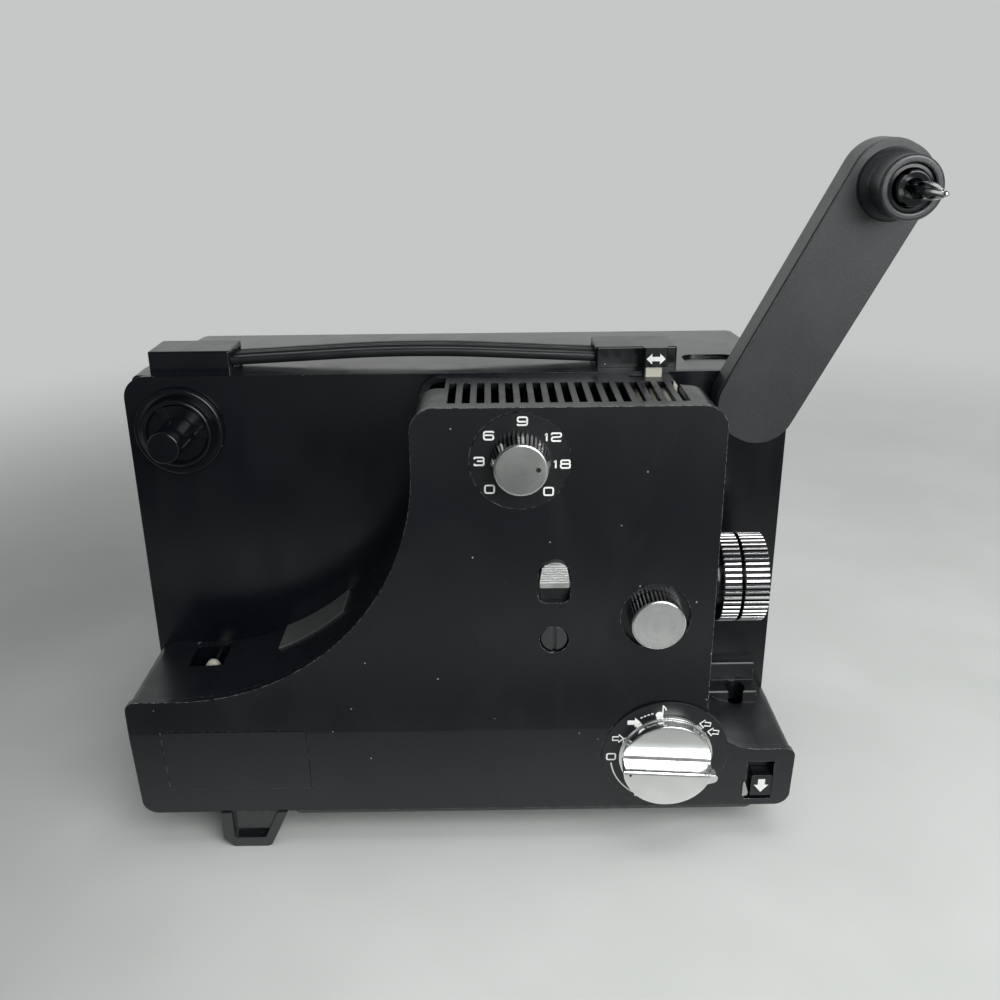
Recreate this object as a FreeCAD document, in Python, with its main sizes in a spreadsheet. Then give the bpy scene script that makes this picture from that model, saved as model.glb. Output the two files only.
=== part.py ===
import FreeCAD, Part
import math
import os
import Sketcher

# A small film projector that stands on a table with its lens to the right.
# Lengths are in millimetres. X points along the light beam, Y away from the
# operator, Z up. The origin is the centre of the screw foot's underside, on
# the table. Places are measured from the housing's left end, its front face
# and its bottom edge, and each piece is moved from there to the origin.

SIZES = {
    # Housing
    "body_width": 265.0,
    "body_depth": 128.0,
    "body_height": 172.0,
    "foot_height": 17.0,
    "film_side_depth": 49.5,
    "plate_thickness": 2.5,
    "wall": 2.4,
    "panel_thickness": 3.0,
    "panel_overlap": 0.7,
    "seam": 0.3,
    "corner_round": 9.0,
    "foot_corner_round": 6.0,
    # Lower part of the front face, which leans back towards the table
    "lean_start": 40.0,
    "lean_angle": 5.2,
    # Outline of the film side
    "tower_left": 115.3,
    "tower_right": 228.0,
    "left_wing_top": 54.6,
    "right_wing_top": 28.8,
    "right_wing_curve": 22.0,
    "wing_round": 4.0,
    # Rear housing
    "rear_left_inset": 11.0,
    "rear_right_inset": 5.0,
    "rear_corner_cut": 2.6,
    "rear_edge_round": 2.5,
    # Air slots
    "grille_left": 128.6,
    "grille_front": 8.5,
    "grille_length": 28.5,
    "grille_slot": 2.9,
    "grille_pitch": 5.27,
    "grille_count": 17.0,
    "rear_slot_width": 3.0,
    "rear_slot_height": 42.0,
    "rear_slot_pitch": 7.0,
    "rear_slot_count": 12.0,
    # Light beam and lens
    "beam_depth": 17.1,
    "beam_height": 97.85,
    "barrel_radius": 11.0,
    "barrel_start": 201.0,
    "barrel_shoulder": 229.6,
    "ring_seat_radius": 12.6,
    "ring_radius": 17.3,
    "zoom_ring_start": 231.0,
    "zoom_ring_width": 6.8,
    "focus_ring_start": 238.9,
    "focus_ring_width": 9.4,
    "ring_flutes": 48.0,
    "running_clearance": 0.05,
    "sliding_clearance": 0.03,
    "holder_wall": 2.3,
    "holder_length": 21.5,
    # Controls on the front face
    "speed_x": 154.5,
    "speed_z": 152.1,
    "speed_scale_radius": 18.0,
    "speed_knob_radius": 11.0,
    "speed_knob_height": 10.2,
    "focus_x": 205.8,
    "focus_z": 89.4,
    "focus_recess_radius": 13.4,
    "focus_knob_radius": 10.2,
    "focus_knob_height": 7.3,
    "selector_x": 212.4,
    "selector_z": 27.4,
    "selector_scale_radius": 25.2,
    "selector_knob_radius": 17.8,
    "selector_knob_height": 5.9,
    "selector_grip_height": 4.1,
    "selector_tilt": -4.0,
    "scale_thickness": 0.8,
    "scale_depth": 0.5,
    "knob_gap": 0.4,
    "knob_shaft_radius": 3.0,
    "knob_edge": 0.9,
    "switch_x": 167.2,
    "switch_z": 104.6,
    "switch_width": 12.0,
    "switch_opening": 17.6,
    "switch_travel": 5.6,
    "switch_corner": 3.0,
    "switch_end_gap": 1.3,
    "rib_pitch": 0.95,
    "rib_count": 8,
    "adjuster_x": 167.4,
    "adjuster_z": 80.2,
    "adjuster_radius": 5.2,
    "adjuster_stem": 2.4,
    "button_x": 252.6,
    "button_z": 10.6,
    "button_width": 8.4,
    "button_height": 10.4,
    "label_x": 41.2,
    "label_z": 26.6,
    "label_width": 57.0,
    "label_height": 28.6,
    "label_thickness": 0.6,
    # Take-up side
    "takeup_x": 20.0,
    "takeup_z": 150.0,
    "spindle_radius": 6.2,
    "takeup_front": 25.4,
    "takeup_flange_radius": 17.6,
    "takeup_seat_radius": 13.7,
    "exit_roller_x": 24.0,
    "exit_roller_z": 47.0,
    "exit_roller_radius": 3.0,
    "exit_roller_front": 30.0,
    "exit_roller_length": 12.0,
    "pin_radius": 1.2,
    "strip_start": -68.3,
    "strip_angle": 19.4,
    "strip_width": 19.5,
    "strip_thickness": 0.8,
    # Slider on top
    "slider_x": 207.7,
    "slider_y": 45.2,
    "slider_width": 6.2,
    "slider_travel": 6.0,
    "slider_cap_width": 9.5,
    "slider_cap_height": 7.6,
    # Supply arm
    "arm_x": 247.2,
    "arm_z": 162.1,
    "arm_length": 90.6,
    "arm_angle": 62.9,
    "arm_half_width": 15.6,
    "arm_thickness": 14.0,
    "arm_gap": 0.6,
    "arm_wall": 2.0,
    "arm_cover": 2.0,
    "arm_pulley_radius": 10.0,
    "collar_base_radius": 13.0,
    "collar_radius": 11.2,
    "collar_length": 18.5,
    "collar_bore": 8.2,
    "clip_length": 33.0,
    # Carrying handle
    "handle_left": 8.3,
    "handle_right": 218.8,
    "handle_front": 56.5,
    "handle_depth": 21.0,
    "cap_length": 32.5,
    "cap_height": 8.3,
    "strap_width": 16.5,
    "strap_thickness": 4.0,
    "strap_lift": 4.1,
    # Base
    "tray_left": 60.0,
    "tray_right": 252.0,
    "tray_inset": 5.5,
    "tray_drop": 2.6,
    "tray_floor": 1.6,
    "foot_x": 45.0,
    "foot_top_width": 27.5,
    "foot_depth": 20.0,
    "screw_foot_x": 226.0,
    "screw_foot_radius": 11.0,
    # Mechanism behind the plate
    "motor_x": 95.0,
    "motor_z": 54.0,
    "motor_radius": 24.0,
    "motor_length": 38.0,
    "motor_front": 74.0,
    "shaft_radius": 3.0,
    "main_x": 186.0,
    "main_z": 70.0,
    "main_pulley_radius": 20.0,
    "motor_pulley_radius": 7.0,
    "takeup_pulley_radius": 12.0,
    "takeup_drive_radius": 5.5,
    "rewind_pulley_radius": 6.5,
    "belt_plane": 68.0,
    "takeup_plane": 60.5,
    "rewind_plane": 84.4,
    "motor_post_circle": 19.0,
    "fan_radius": 20.0,
    "cam_plane": 36.0,
    "cam_radius": 5.0,
    "claw_stroke": 4.2,
    "gear_plane": 55.0,
    "gear_radius": 37.9,
    "pinion_radius": 3.4,
    "pillar_end": 117.0,
    "shutter_radius": 46.0,
    "shutter_thickness": 0.8,
    "shutter_plane": 60.0,
    "sprocket_x": 150.0,
    "sprocket_z": 49.2,
    "sprocket_radius": 8.1,
    "film_width": 8.0,
    "lamp_radius": 21.0,
    "lamp_front": 76.0,
    "lamp_length": 26.0,
    "mirror_x": 162.0,
    "mirror_width": 18.0,
    "mirror_height": 22.0,
    "mirror_thickness": 2.0,
    "beam_hole": 13.0,
    "gate_x": 196.0,
}


class Size:
    """A length that knows its value and the sheet formula behind it."""

    def __init__(self, value, formula):
        self.value = float(value)
        self.formula = formula

    def joined(self, other, sign, value):
        return Size(value, "(" + self.formula + " " + sign + " " + formula(other) + ")")

    def __add__(self, other):
        return self.joined(other, "+", self.value + number(other))

    def __sub__(self, other):
        return self.joined(other, "-", self.value - number(other))

    def __mul__(self, other):
        return self.joined(other, "*", self.value * number(other))

    def __truediv__(self, other):
        return self.joined(other, "/", self.value / number(other))

    def __radd__(self, other):
        return as_size(other) + self

    def __rsub__(self, other):
        return as_size(other) - self

    def __rmul__(self, other):
        return as_size(other) * self

    def __neg__(self):
        return as_size(0) - self


def as_size(value):
    return value if isinstance(value, Size) else Size(value, repr(float(value)))


def number(value):
    return value.value if isinstance(value, Size) else float(value)


def formula(value):
    return as_size(value).formula


def size_cos(angle):
    return Size(math.cos(math.radians(angle.value)), "cos(" + angle.formula + ")")


def size_sin(angle):
    return Size(math.sin(math.radians(angle.value)), "sin(" + angle.formula + ")")


def size_tan(angle):
    return Size(math.tan(math.radians(angle.value)), "tan(" + angle.formula + ")")


class SizeSheet:
    """The driving dimensions, one named cell each."""

    def __init__(self, document, sizes):
        sheet = document.addObject("Spreadsheet::Sheet", "Sizes")
        for row, (name, value) in enumerate(sizes.items(), start=1):
            sheet.set("A%d" % row, name)
            sheet.set("B%d" % row, str(value))
            sheet.setAlias("B%d" % row, name)
            setattr(self, name, Size(value, "Sizes." + name))
        document.recompute()


document = FreeCAD.newDocument("projector")
S = SizeSheet(document, SIZES)
nodes = {}

# Turns that bring a piece's own Z axis to where it points on the projector
UPRIGHT = (FreeCAD.Vector(0, 0, 1), 0)
TO_OPERATOR = (FreeCAD.Vector(1, 0, 0), 90)
FROM_OPERATOR = (FreeCAD.Vector(1, 0, 0), -90)
ALONG_BEAM = (FreeCAD.Vector(0, 1, 0), 90)

left_end = -S.screw_foot_x
front_face = S.body_depth / -2


def at(x, y, z):
    """A place measured from the left end, front face and bottom edge of the housing."""
    return (left_end + x, front_face + y, S.foot_height + z)


def bind(item, path, value):
    """Gives a property its value and ties it to the sheet."""
    if "." not in path and "[" not in path:
        setattr(item, path, number(value))
    if isinstance(value, Size):
        item.setExpression(path, value.formula)


def place(item, where, turn=UPRIGHT):
    base = FreeCAD.Vector(*[number(value) for value in where])
    axis, angle = turn
    item.Placement = FreeCAD.Placement(base, FreeCAD.Rotation(axis, number(angle)))
    for side, value in zip("xyz", where):
        bind(item, "Placement.Base." + side, value)
    bind(item, "Placement.Rotation.Angle", angle)
    return item


def keep(item, name):
    """Makes a finished piece one of the projector's nodes."""
    item.Label = name
    nodes[name] = item
    return item


def new_body(name, where=(0, 0, 0), turn=UPRIGHT):
    return place(document.addObject("PartDesign::Body", name), where, turn)


def origin_plane(body, role):
    return next(item for item in body.Origin.OriginFeatures if item.Role == role)


def new_sketch(body, name, role="XY_Plane", offset=0):
    sketch = body.newObject("Sketcher::SketchObject", name)
    sketch.AttachmentSupport = [(origin_plane(body, role), "")]
    sketch.MapMode = "FlatFace"
    sketch.AttachmentOffset = FreeCAD.Placement(
        FreeCAD.Vector(0, 0, number(offset)), FreeCAD.Rotation())
    bind(sketch, "AttachmentOffset.Base.z", offset)
    return sketch


def fix(sketch, kind, *reference):
    """Adds one constraint and ties its size to the sheet."""
    *geometry, value = reference
    index = sketch.addConstraint(Sketcher.Constraint(kind, *geometry, number(value)))
    bind(sketch, "Constraints[%d]" % index, value)


def fix_point(sketch, geometry, point, x, y):
    fix(sketch, "DistanceX", geometry, point, x)
    fix(sketch, "DistanceY", geometry, point, y)


def corner_ends(before, corner, after):
    """The two points where a corner's round starts and ends, its centre and its turn."""
    x, y, radius = [number(value) for value in corner]
    into = FreeCAD.Vector(x - number(before[0]), y - number(before[1])).normalize()
    out = FreeCAD.Vector(number(after[0]) - x, number(after[1]) - y).normalize()
    turn = into.x * out.y - into.y * out.x
    half = math.acos(max(-1.0, min(1.0, into * out))) / 2
    reach = radius * math.tan(half)
    point = FreeCAD.Vector(x, y)
    start = point - into * reach
    end = point + out * reach
    side = FreeCAD.Vector(-into.y, into.x) * math.copysign(radius, turn)
    return start, end, start + side, turn


def draw_outline(sketch, corners):
    """Draws a closed outline through corners (x, y, round radius)."""
    corners = [(*corner, 0) if len(corner) == 2 else corner for corner in corners]
    count = len(corners)
    ends = [corner_ends(corners[i - 1], corners[i], corners[(i + 1) % count]) for i in range(count)]
    lines = []
    for i in range(count):
        line = Part.LineSegment(ends[i][1], ends[(i + 1) % count][0])
        lines.append(sketch.addGeometry(line, False))
    for i, (x, y, radius) in enumerate(corners):
        start, end, centre, turn = ends[i]
        line_in, line_out = lines[i - 1], lines[i]
        if number(radius) == 0:
            sketch.addConstraint(Sketcher.Constraint("Coincident", line_in, 2, line_out, 1))
            fix_point(sketch, line_out, 1, x, y)
            continue
        first, last = (start, end) if turn > 0 else (end, start)
        circle = Part.Circle(centre, FreeCAD.Vector(0, 0, 1), number(radius))
        arc = Part.ArcOfCircle(circle, circle.parameter(first), circle.parameter(last))
        arc = sketch.addGeometry(arc, False)
        arc_in, arc_out = (1, 2) if turn > 0 else (2, 1)
        tip = sketch.addGeometry(Part.Point(FreeCAD.Vector(number(x), number(y))), True)
        sketch.addConstraint(Sketcher.Constraint("Tangent", line_in, 2, arc, arc_in))
        sketch.addConstraint(Sketcher.Constraint("Tangent", arc, arc_out, line_out, 1))
        sketch.addConstraint(Sketcher.Constraint("PointOnObject", tip, 1, line_in))
        sketch.addConstraint(Sketcher.Constraint("PointOnObject", tip, 1, line_out))
        fix(sketch, "Radius", arc, radius)
        fix_point(sketch, tip, 1, x, y)
    return sketch


def draw_circles(sketch, circles):
    """Draws circles (x, y, radius)."""
    for x, y, radius in circles:
        centre = FreeCAD.Vector(number(x), number(y))
        circle = Part.Circle(centre, FreeCAD.Vector(0, 0, 1), number(radius))
        circle = sketch.addGeometry(circle, False)
        fix_point(sketch, circle, 3, x, y)
        fix(sketch, "Radius", circle, radius)
    return sketch


def rectangle(x, y, width, height, radius=0):
    """Corners of a rectangle with its middle at x, y."""
    right, top = as_size(x) + width / 2, as_size(y) + height / 2
    left, bottom = right - width, top - height
    return [(left, bottom, radius), (right, bottom, radius), (right, top, radius), (left, top, radius)]


def arched(x, y, width, height, low_radius, high_radius):
    """Corners of a rectangle whose upper corners are rounder than its lower ones."""
    low_left, low_right, high_right, high_left = rectangle(x, y, width, height)
    return [(*low_left[:2], low_radius), (*low_right[:2], low_radius),
            (*high_right[:2], high_radius), (*high_left[:2], high_radius)]


def pad(body, sketch, length, back=False):
    feature = body.newObject("PartDesign::Pad", sketch.Name + "_pad")
    feature.Profile = sketch
    feature.Reversed = back
    bind(feature, "Length", length)
    return feature


def pocket(body, sketch, depth=None, back=False):
    """Cuts to a depth, or both ways through everything when no depth is given."""
    feature = body.newObject("PartDesign::Pocket", sketch.Name + "_pocket")
    feature.Profile = sketch
    if depth is None:
        feature.Type = 1
        feature.Midplane = True
    else:
        feature.Reversed = back
        bind(feature, "Length", depth)
    return feature


def revolve(body, name, corners):
    """Turns a profile of corners (radius, height, round) about the body's own Z axis."""
    sketch = draw_outline(new_sketch(body, name + "_profile", "XZ_Plane"), corners)
    feature = body.newObject("PartDesign::Revolution", name + "_turned")
    feature.Profile = sketch
    feature.ReferenceAxis = (sketch, ["V_Axis"])
    feature.Angle = 360
    return feature


def polar(body, feature, count, role="Z_Axis"):
    """Repeats a feature round the body's own axis."""
    pattern = body.newObject("PartDesign::PolarPattern", feature.Name + "_round")
    pattern.Originals = [feature]
    pattern.Axis = (origin_plane(body, role), [""])
    pattern.Angle = 360
    pattern.Occurrences = int(number(count))
    bind_count(pattern, count)
    body.Tip = pattern
    return pattern


def linear(body, feature, pitch, count, role="X_Axis"):
    """Repeats a feature in a row."""
    pattern = body.newObject("PartDesign::LinearPattern", feature.Name + "_row")
    pattern.Originals = [feature]
    pattern.Direction = (origin_plane(body, role), [""])
    pattern.Mode = "Spacing"
    bind(pattern, "Offset", pitch)
    pattern.Occurrences = int(number(count))
    bind_count(pattern, count)
    body.Tip = pattern
    return pattern


def bind_count(pattern, count):
    if isinstance(count, Size):
        pattern.setExpression("Occurrences", count.formula)


def dress(body, kind, size, wanted):
    """Rounds or bevels the edges of the body's last shape that are wanted."""
    document.recompute()
    base = body.Tip
    edges = ["Edge%d" % (i + 1) for i, edge in enumerate(base.Shape.Edges) if wanted(edge)]
    feature = body.newObject("PartDesign::" + kind, body.Name + "_" + kind.lower())
    feature.Base = (base, edges)
    bind(feature, "Radius" if kind == "Fillet" else "Size", size)
    return feature


def tube_body(name, where, turn, outer, inner, length):
    """A round tube, or a rod when the inner radius is None."""
    body = new_body(name, where, turn)
    circles = [(0, 0, outer)] if inner is None else [(0, 0, outer), (0, 0, inner)]
    pad(body, draw_circles(new_sketch(body, name + "_section"), circles), length)
    return body


def box(name, where, length, width, height, turn=UPRIGHT):
    item = document.addObject("Part::Box", name)
    for path, value in (("Length", length), ("Width", width), ("Height", height)):
        bind(item, path, value)
    return place(item, where, turn)


def rod(name, where, turn, radius, length):
    item = document.addObject("Part::Cylinder", name)
    bind(item, "Radius", radius)
    bind(item, "Height", length)
    return place(item, where, turn)


def cut(name, base, tools):
    for i, tool in enumerate(tools):
        item = document.addObject("Part::Cut", name + "_cut%d" % i)
        item.Base = base
        item.Tool = tool
        base = item
    return base


def fuse(name, pieces):
    item = document.addObject("Part::MultiFuse", name + "_fused")
    item.Shapes = pieces
    return item


def group(name, pieces):
    item = document.addObject("Part::Compound", name + "_group")
    item.Links = pieces
    return item


def film_side_outline(inset):
    """Outline of the film side seen from the front, drawn in by an inset."""
    well_radius = S.tower_left - S.takeup_x
    left, bottom = as_size(inset), as_size(inset)
    right, top = S.body_width - inset, S.body_height - inset
    return [
        (left, bottom, S.foot_corner_round - inset),
        (right, bottom, S.foot_corner_round - inset),
        (right, S.right_wing_top - inset, S.wing_round - inset),
        (S.tower_right - inset, S.right_wing_top - inset, S.right_wing_curve + inset),
        (S.tower_right - inset, top, S.corner_round - inset),
        (S.tower_left + inset, top, S.corner_round - inset),
        (S.tower_left + inset, S.left_wing_top - inset, well_radius + inset),
        (left, S.left_wing_top - inset, S.wing_round - inset),
    ]


def lean(z):
    """How far the front face lies back at a height below the bend."""
    return (S.lean_start - z) * size_tan(S.lean_angle)


def on_lean(x, z, proud=0):
    """A place on the leaning face, or in front of it by proud, square to the face."""
    y = lean(as_size(z)) - size_cos(S.lean_angle) * proud
    return at(x, y, z - size_sin(S.lean_angle) * proud)


def lean_turn():
    """Turns a piece's own Z axis square out of the leaning face."""
    return (FreeCAD.Vector(1, 0, 0), 90 + S.lean_angle)


MARGIN = 10.0
HOUSING = at(0, 0, 0)
BUSH_RADIUS = S.shaft_radius + 3
PIVOT_RADIUS = S.shaft_radius + 3.2
WHEEL_HUB = as_size(6.0)
STEM_RADIUS = as_size(3.5)
SCREW_RADIUS = as_size(1.5)
INLET_WIDTH = as_size(21.0)
INLET_HEIGHT = as_size(14.0)
STRAP_END = as_size(1.2)
STRAP_BEND = as_size(600.0)
PINION_BACK = as_size(7.0)
PINION_RADIUS = as_size(3.4)
SHAFT_REACH = as_size(24.0)
CLIP_RADIUS = as_size(3.6)
HUB_PIN = as_size(2.5)
RETAINER = as_size(2.4)
PULLEY_HALF = as_size(2.6)
GROOVE_DEPTH = as_size(1.6)
BELT_WIDTH = as_size(1.8)
ARM_GROOVE = as_size(3.2)
LOOP_FLAT = 0.03


def bent_section(depth_front, depth_back):
    """Side view of a slab that follows the bent front face."""
    low, high = as_size(-MARGIN), S.body_height + MARGIN
    return [
        (depth_front + lean(low), low),
        (depth_back + lean(low), low),
        (as_size(depth_back), S.lean_start),
        (as_size(depth_back), high),
        (as_size(depth_front), high),
        (as_size(depth_front), S.lean_start),
    ]


def build_front_cover():
    """The face panel: a bent sheet cut to the outline, with the holes for the controls."""
    body = new_body("face_panel", HOUSING)
    side = draw_outline(new_sketch(body, "panel_side", "YZ_Plane", -MARGIN),
                        bent_section(as_size(0), S.panel_thickness))
    pad(body, side, S.body_width + 2 * MARGIN)
    face = new_sketch(body, "panel_outline", "XZ_Plane")
    draw_outline(face, rectangle(S.body_width / 2, S.body_height / 2,
                                 S.body_width + 4 * MARGIN, S.body_height + 4 * MARGIN))
    draw_outline(face, film_side_outline(0))
    pocket(body, face)
    holes = new_sketch(body, "panel_holes", "XZ_Plane")
    draw_circles(holes, [
        (S.speed_x, S.speed_z, S.knob_shaft_radius + S.knob_gap),
        (S.focus_x, S.focus_z, S.knob_shaft_radius + S.knob_gap),
        (S.adjuster_x, S.adjuster_z, S.adjuster_radius + S.knob_gap),
    ])
    arch = (S.switch_width - S.knob_gap) / 2
    draw_outline(holes, arched(S.switch_x, S.switch_z, S.switch_width, S.switch_opening,
                               S.switch_corner, arch))
    pocket(body, holes)
    scale = draw_circles(new_sketch(body, "speed_recess", "XZ_Plane", MARGIN),
                         [(S.speed_x, S.speed_z, S.speed_scale_radius + S.knob_gap / 2)])
    pocket(body, scale, S.scale_depth + MARGIN)
    dish = draw_circles(new_sketch(body, "focus_recess", "XZ_Plane", MARGIN),
                        [(S.focus_x, S.focus_z, S.focus_recess_radius)])
    pocket(body, dish, S.panel_thickness - 1.2 + MARGIN)
    tools = [
        rod("selector_recess", on_lean(S.selector_x, S.selector_z, -S.scale_depth), lean_turn(),
            S.selector_scale_radius + S.knob_gap / 2, as_size(MARGIN)),
        rod("selector_hole", on_lean(S.selector_x, S.selector_z, -MARGIN), lean_turn(),
            S.knob_shaft_radius + S.knob_gap, as_size(2 * MARGIN)),
        lean_box("label_recess", S.label_x, S.label_z, S.label_width + S.knob_gap,
                 S.label_height + S.knob_gap, -S.label_thickness / 2, as_size(MARGIN)),
        lean_box("button_hole", S.button_x - 0.8, S.button_z + 2.15,
                 S.button_width + 2.4, S.button_height + 9.1, as_size(-MARGIN), as_size(2 * MARGIN)),
    ]
    keep(cut("front_cover", body, tools), "front_cover")


def lean_box(name, x, z, width, height, start, depth):
    """A block square to the leaning face, centred at x, z and starting at a depth."""
    body = new_body(name, on_lean(x, z, start), lean_turn())
    pad(body, draw_outline(new_sketch(body, name + "_face"), rectangle(0, 0, width, height)), depth)
    return body


def build_film_side_housing():
    """The walls behind the face panel, with the air grille, film slots and lens opening."""
    body = new_body("film_side_walls", HOUSING)
    outline = draw_outline(new_sketch(body, "walls_outline", "XZ_Plane"),
                           film_side_outline(S.panel_overlap))
    pad(body, outline, S.film_side_depth, back=True)
    ledge = draw_outline(new_sketch(body, "ledge_side", "YZ_Plane", S.tower_right - 4), [
        (S.film_side_depth - 13.0, S.right_wing_top - 4),
        (S.film_side_depth, S.right_wing_top - 4),
        (S.film_side_depth, S.right_wing_top + 15),
        (S.film_side_depth - 4.5, S.right_wing_top + 14.2, 1.5),
        (S.film_side_depth - 5.5, S.right_wing_top + 6.0),
        (S.film_side_depth - 13.0, S.right_wing_top + 5.0, 1.5),
    ])
    pad(body, ledge, as_size(33.5))
    inner = draw_outline(new_sketch(body, "walls_inside", "XZ_Plane"),
                         film_side_outline(S.panel_overlap + S.wall))
    pocket(body, inner)
    high, low = S.body_height + MARGIN, as_size(-MARGIN)
    front = draw_outline(new_sketch(body, "walls_front", "YZ_Plane"), [
        (as_size(-MARGIN), low),
        (S.panel_thickness + lean(low), low),
        (S.panel_thickness, S.lean_start),
        (S.panel_thickness, high),
        (as_size(-MARGIN), high),
    ])
    pocket(body, front)
    above = S.body_height + 1
    slot = draw_outline(new_sketch(body, "grille_slot", "XY_Plane", above),
                        rectangle(S.grille_left + S.grille_slot / 2,
                                  S.grille_front + S.grille_length / 2,
                                  S.grille_slot, S.grille_length))
    slot = pocket(body, slot, S.wall + 3)
    linear(body, slot, S.grille_pitch, S.grille_count)
    notch = draw_outline(new_sketch(body, "film_entry", "XY_Plane", above),
                         rectangle(S.tower_right - 4, S.film_side_depth - 4, as_size(19), as_size(31), 5))
    pocket(body, notch, S.corner_round + 4)
    corner = draw_outline(new_sketch(body, "corner_window", "XY_Plane", above),
                          rectangle(S.tower_left + 7, S.film_side_depth - 11.5, as_size(9.5), as_size(17)))
    pocket(body, corner, S.wall + 3)
    exit_slot = draw_outline(new_sketch(body, "film_exit", "XY_Plane", S.left_wing_top + 1),
                             rectangle(S.takeup_x + 4, S.film_side_depth - 10.5, as_size(15.5), as_size(20)))
    pocket(body, exit_slot, S.wall + 3)
    slider_slot = draw_outline(new_sketch(body, "slider_slot", "XY_Plane", above), rectangle(
        S.slider_x - S.slider_travel / 2, S.slider_y, S.slider_width + S.slider_travel + 0.8, as_size(4.0)))
    pocket(body, slider_slot, S.wall + 3)
    screw_hole = draw_circles(new_sketch(body, "ledge_hole", "XY_Plane", S.right_wing_top + MARGIN),
                              [(S.tower_right + 20.5, S.film_side_depth - 10, as_size(4.2))])
    pocket(body, screw_hole, as_size(2 * MARGIN))
    tools = [rod("lens_opening", at(S.tower_right - MARGIN, S.beam_depth, S.beam_height), ALONG_BEAM,
                 S.ring_seat_radius + 0.5, as_size(2 * MARGIN))]
    keep(cut("film_side_housing", body, tools), "film_side_housing")


def build_mechanism_plate():
    """The upright plate with its bushed holes, and the posts and brackets riveted to it."""
    body = new_body("plate", at(0, S.film_side_depth, 0))
    right = S.body_width - 1.8
    outline = draw_outline(new_sketch(body, "plate_outline", "XZ_Plane"), [
        (as_size(-0.8), as_size(3), 3.0),
        (right, as_size(3), 3.0),
        (right, S.body_height, S.corner_round),
        (as_size(-0.8), S.body_height, S.corner_round),
    ])
    pad(body, outline, S.plate_thickness, back=True)
    holes = draw_circles(new_sketch(body, "plate_holes", "XZ_Plane"), [
        (S.takeup_x, S.takeup_z, BUSH_RADIUS),
        (S.arm_x, S.arm_z, PIVOT_RADIUS),
        (S.main_x, S.main_z, BUSH_RADIUS),
        (S.sprocket_x, S.sprocket_z, BUSH_RADIUS),
        (S.mirror_x, S.beam_height, S.beam_hole),
    ])
    pocket(body, holes)
    pieces = [body] + front_brackets() + rear_pillars() + lamp_holder()
    keep(fuse("mechanism_plate", pieces), "mechanism_plate")


def front_brackets():
    """What the plate holds in front: roller pin, switch frame, screw sleeve and button guide."""
    face = S.film_side_depth
    pin = rod("exit_roller_pin", at(S.exit_roller_x, face, S.exit_roller_z), TO_OPERATOR,
              S.pin_radius, face - S.exit_roller_front + 1.5)
    frame_front = S.panel_thickness + 1.6
    frame = box("switch_frame", at(S.switch_x - 9, frame_front, S.switch_z - 15.6),
                as_size(18), as_size(1.4), as_size(25.6))
    shelf = box("switch_shelf", at(S.switch_x - 6, frame_front, S.switch_z + 7),
                as_size(12), face - frame_front, as_size(3))
    sleeve = tube_body("screw_sleeve", at(S.adjuster_x, S.panel_thickness + 20, S.adjuster_z), TO_OPERATOR,
                       as_size(4.5), S.adjuster_stem + S.running_clearance, as_size(12))
    sleeve_arm = box("screw_sleeve_arm", at(S.adjuster_x - 5, S.panel_thickness + 20, S.adjuster_z - 5),
                     as_size(10), face - S.panel_thickness - 20, as_size(10))
    guide = lean_box("button_guide", S.button_x - 1, S.button_z, S.button_width + 11,
                     S.button_height + 4, as_size(-6.4), as_size(1.2))
    start = lean(S.button_z) + 6.2
    leg = box("button_leg", at(S.button_x - 4, start, S.button_z - 3), as_size(8), face - start, as_size(6))
    return [pin, frame, shelf, sleeve, sleeve_arm, guide, leg]


def rear_pillars():
    """Posts that the rear housing is screwed to, each with its blind screw hole."""
    back = S.film_side_depth + S.plate_thickness
    length = S.pillar_end - back
    pillars = []
    for i, (x, z) in enumerate(pillar_places()):
        body = new_body("pillar_%d" % i, at(x, back, z), FROM_OPERATOR)
        pad(body, draw_circles(new_sketch(body, "pillar_%d_section" % i),
                               [(as_size(0), as_size(0), as_size(4.0))]), length)
        hole = draw_circles(new_sketch(body, "pillar_%d_hole" % i, "XY_Plane", length),
                            [(as_size(0), as_size(0), SCREW_RADIUS)])
        pocket(body, hole, as_size(10))
        pillars.append(body)
    return pillars


def pillar_places():
    return [(as_size(60), as_size(150)), (as_size(205), as_size(155)),
            (as_size(80), as_size(12)), (as_size(205), as_size(14))]


def lamp_holder():
    """A ring that the lamp sits against, on two legs that clear the shutter."""
    back = S.film_side_depth + S.plate_thickness
    front = S.lamp_front - 2.5
    ring = tube_body("lamp_ring", at(S.mirror_x, S.lamp_front, S.beam_height), TO_OPERATOR,
                     S.lamp_radius + 4, S.lamp_radius - 2.5, as_size(2.5))
    side = box("lamp_leg_side", at(S.mirror_x - S.lamp_radius - 4, back, S.beam_height - 6),
               as_size(2.5), front + 1 - back, as_size(12))
    above = box("lamp_leg_top", at(S.mirror_x - 6, back, S.beam_height + S.lamp_radius + 1.5),
                as_size(12), front + 1 - back, as_size(2.5))
    return [ring, side, above]


def rear_plan(inset, open_front=False):
    """Plan of the rear housing, narrower at the back, with cut corners."""
    front = S.film_side_depth + S.plate_thickness
    straight = front + 14
    start = front - MARGIN if open_front else front
    back = S.body_depth - inset
    cut_size = S.rear_corner_cut
    return [
        (inset + 2.4, start),
        (S.body_width - inset - 3.0, start),
        (S.body_width - inset - 3.0, straight),
        (S.body_width - inset - 3.0 - S.rear_right_inset, back - cut_size),
        (S.body_width - inset - 3.0 - S.rear_right_inset - cut_size, back),
        (inset + S.rear_left_inset + cut_size, back),
        (inset + S.rear_left_inset, back - cut_size),
        (inset + 2.4, straight),
    ]


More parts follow.
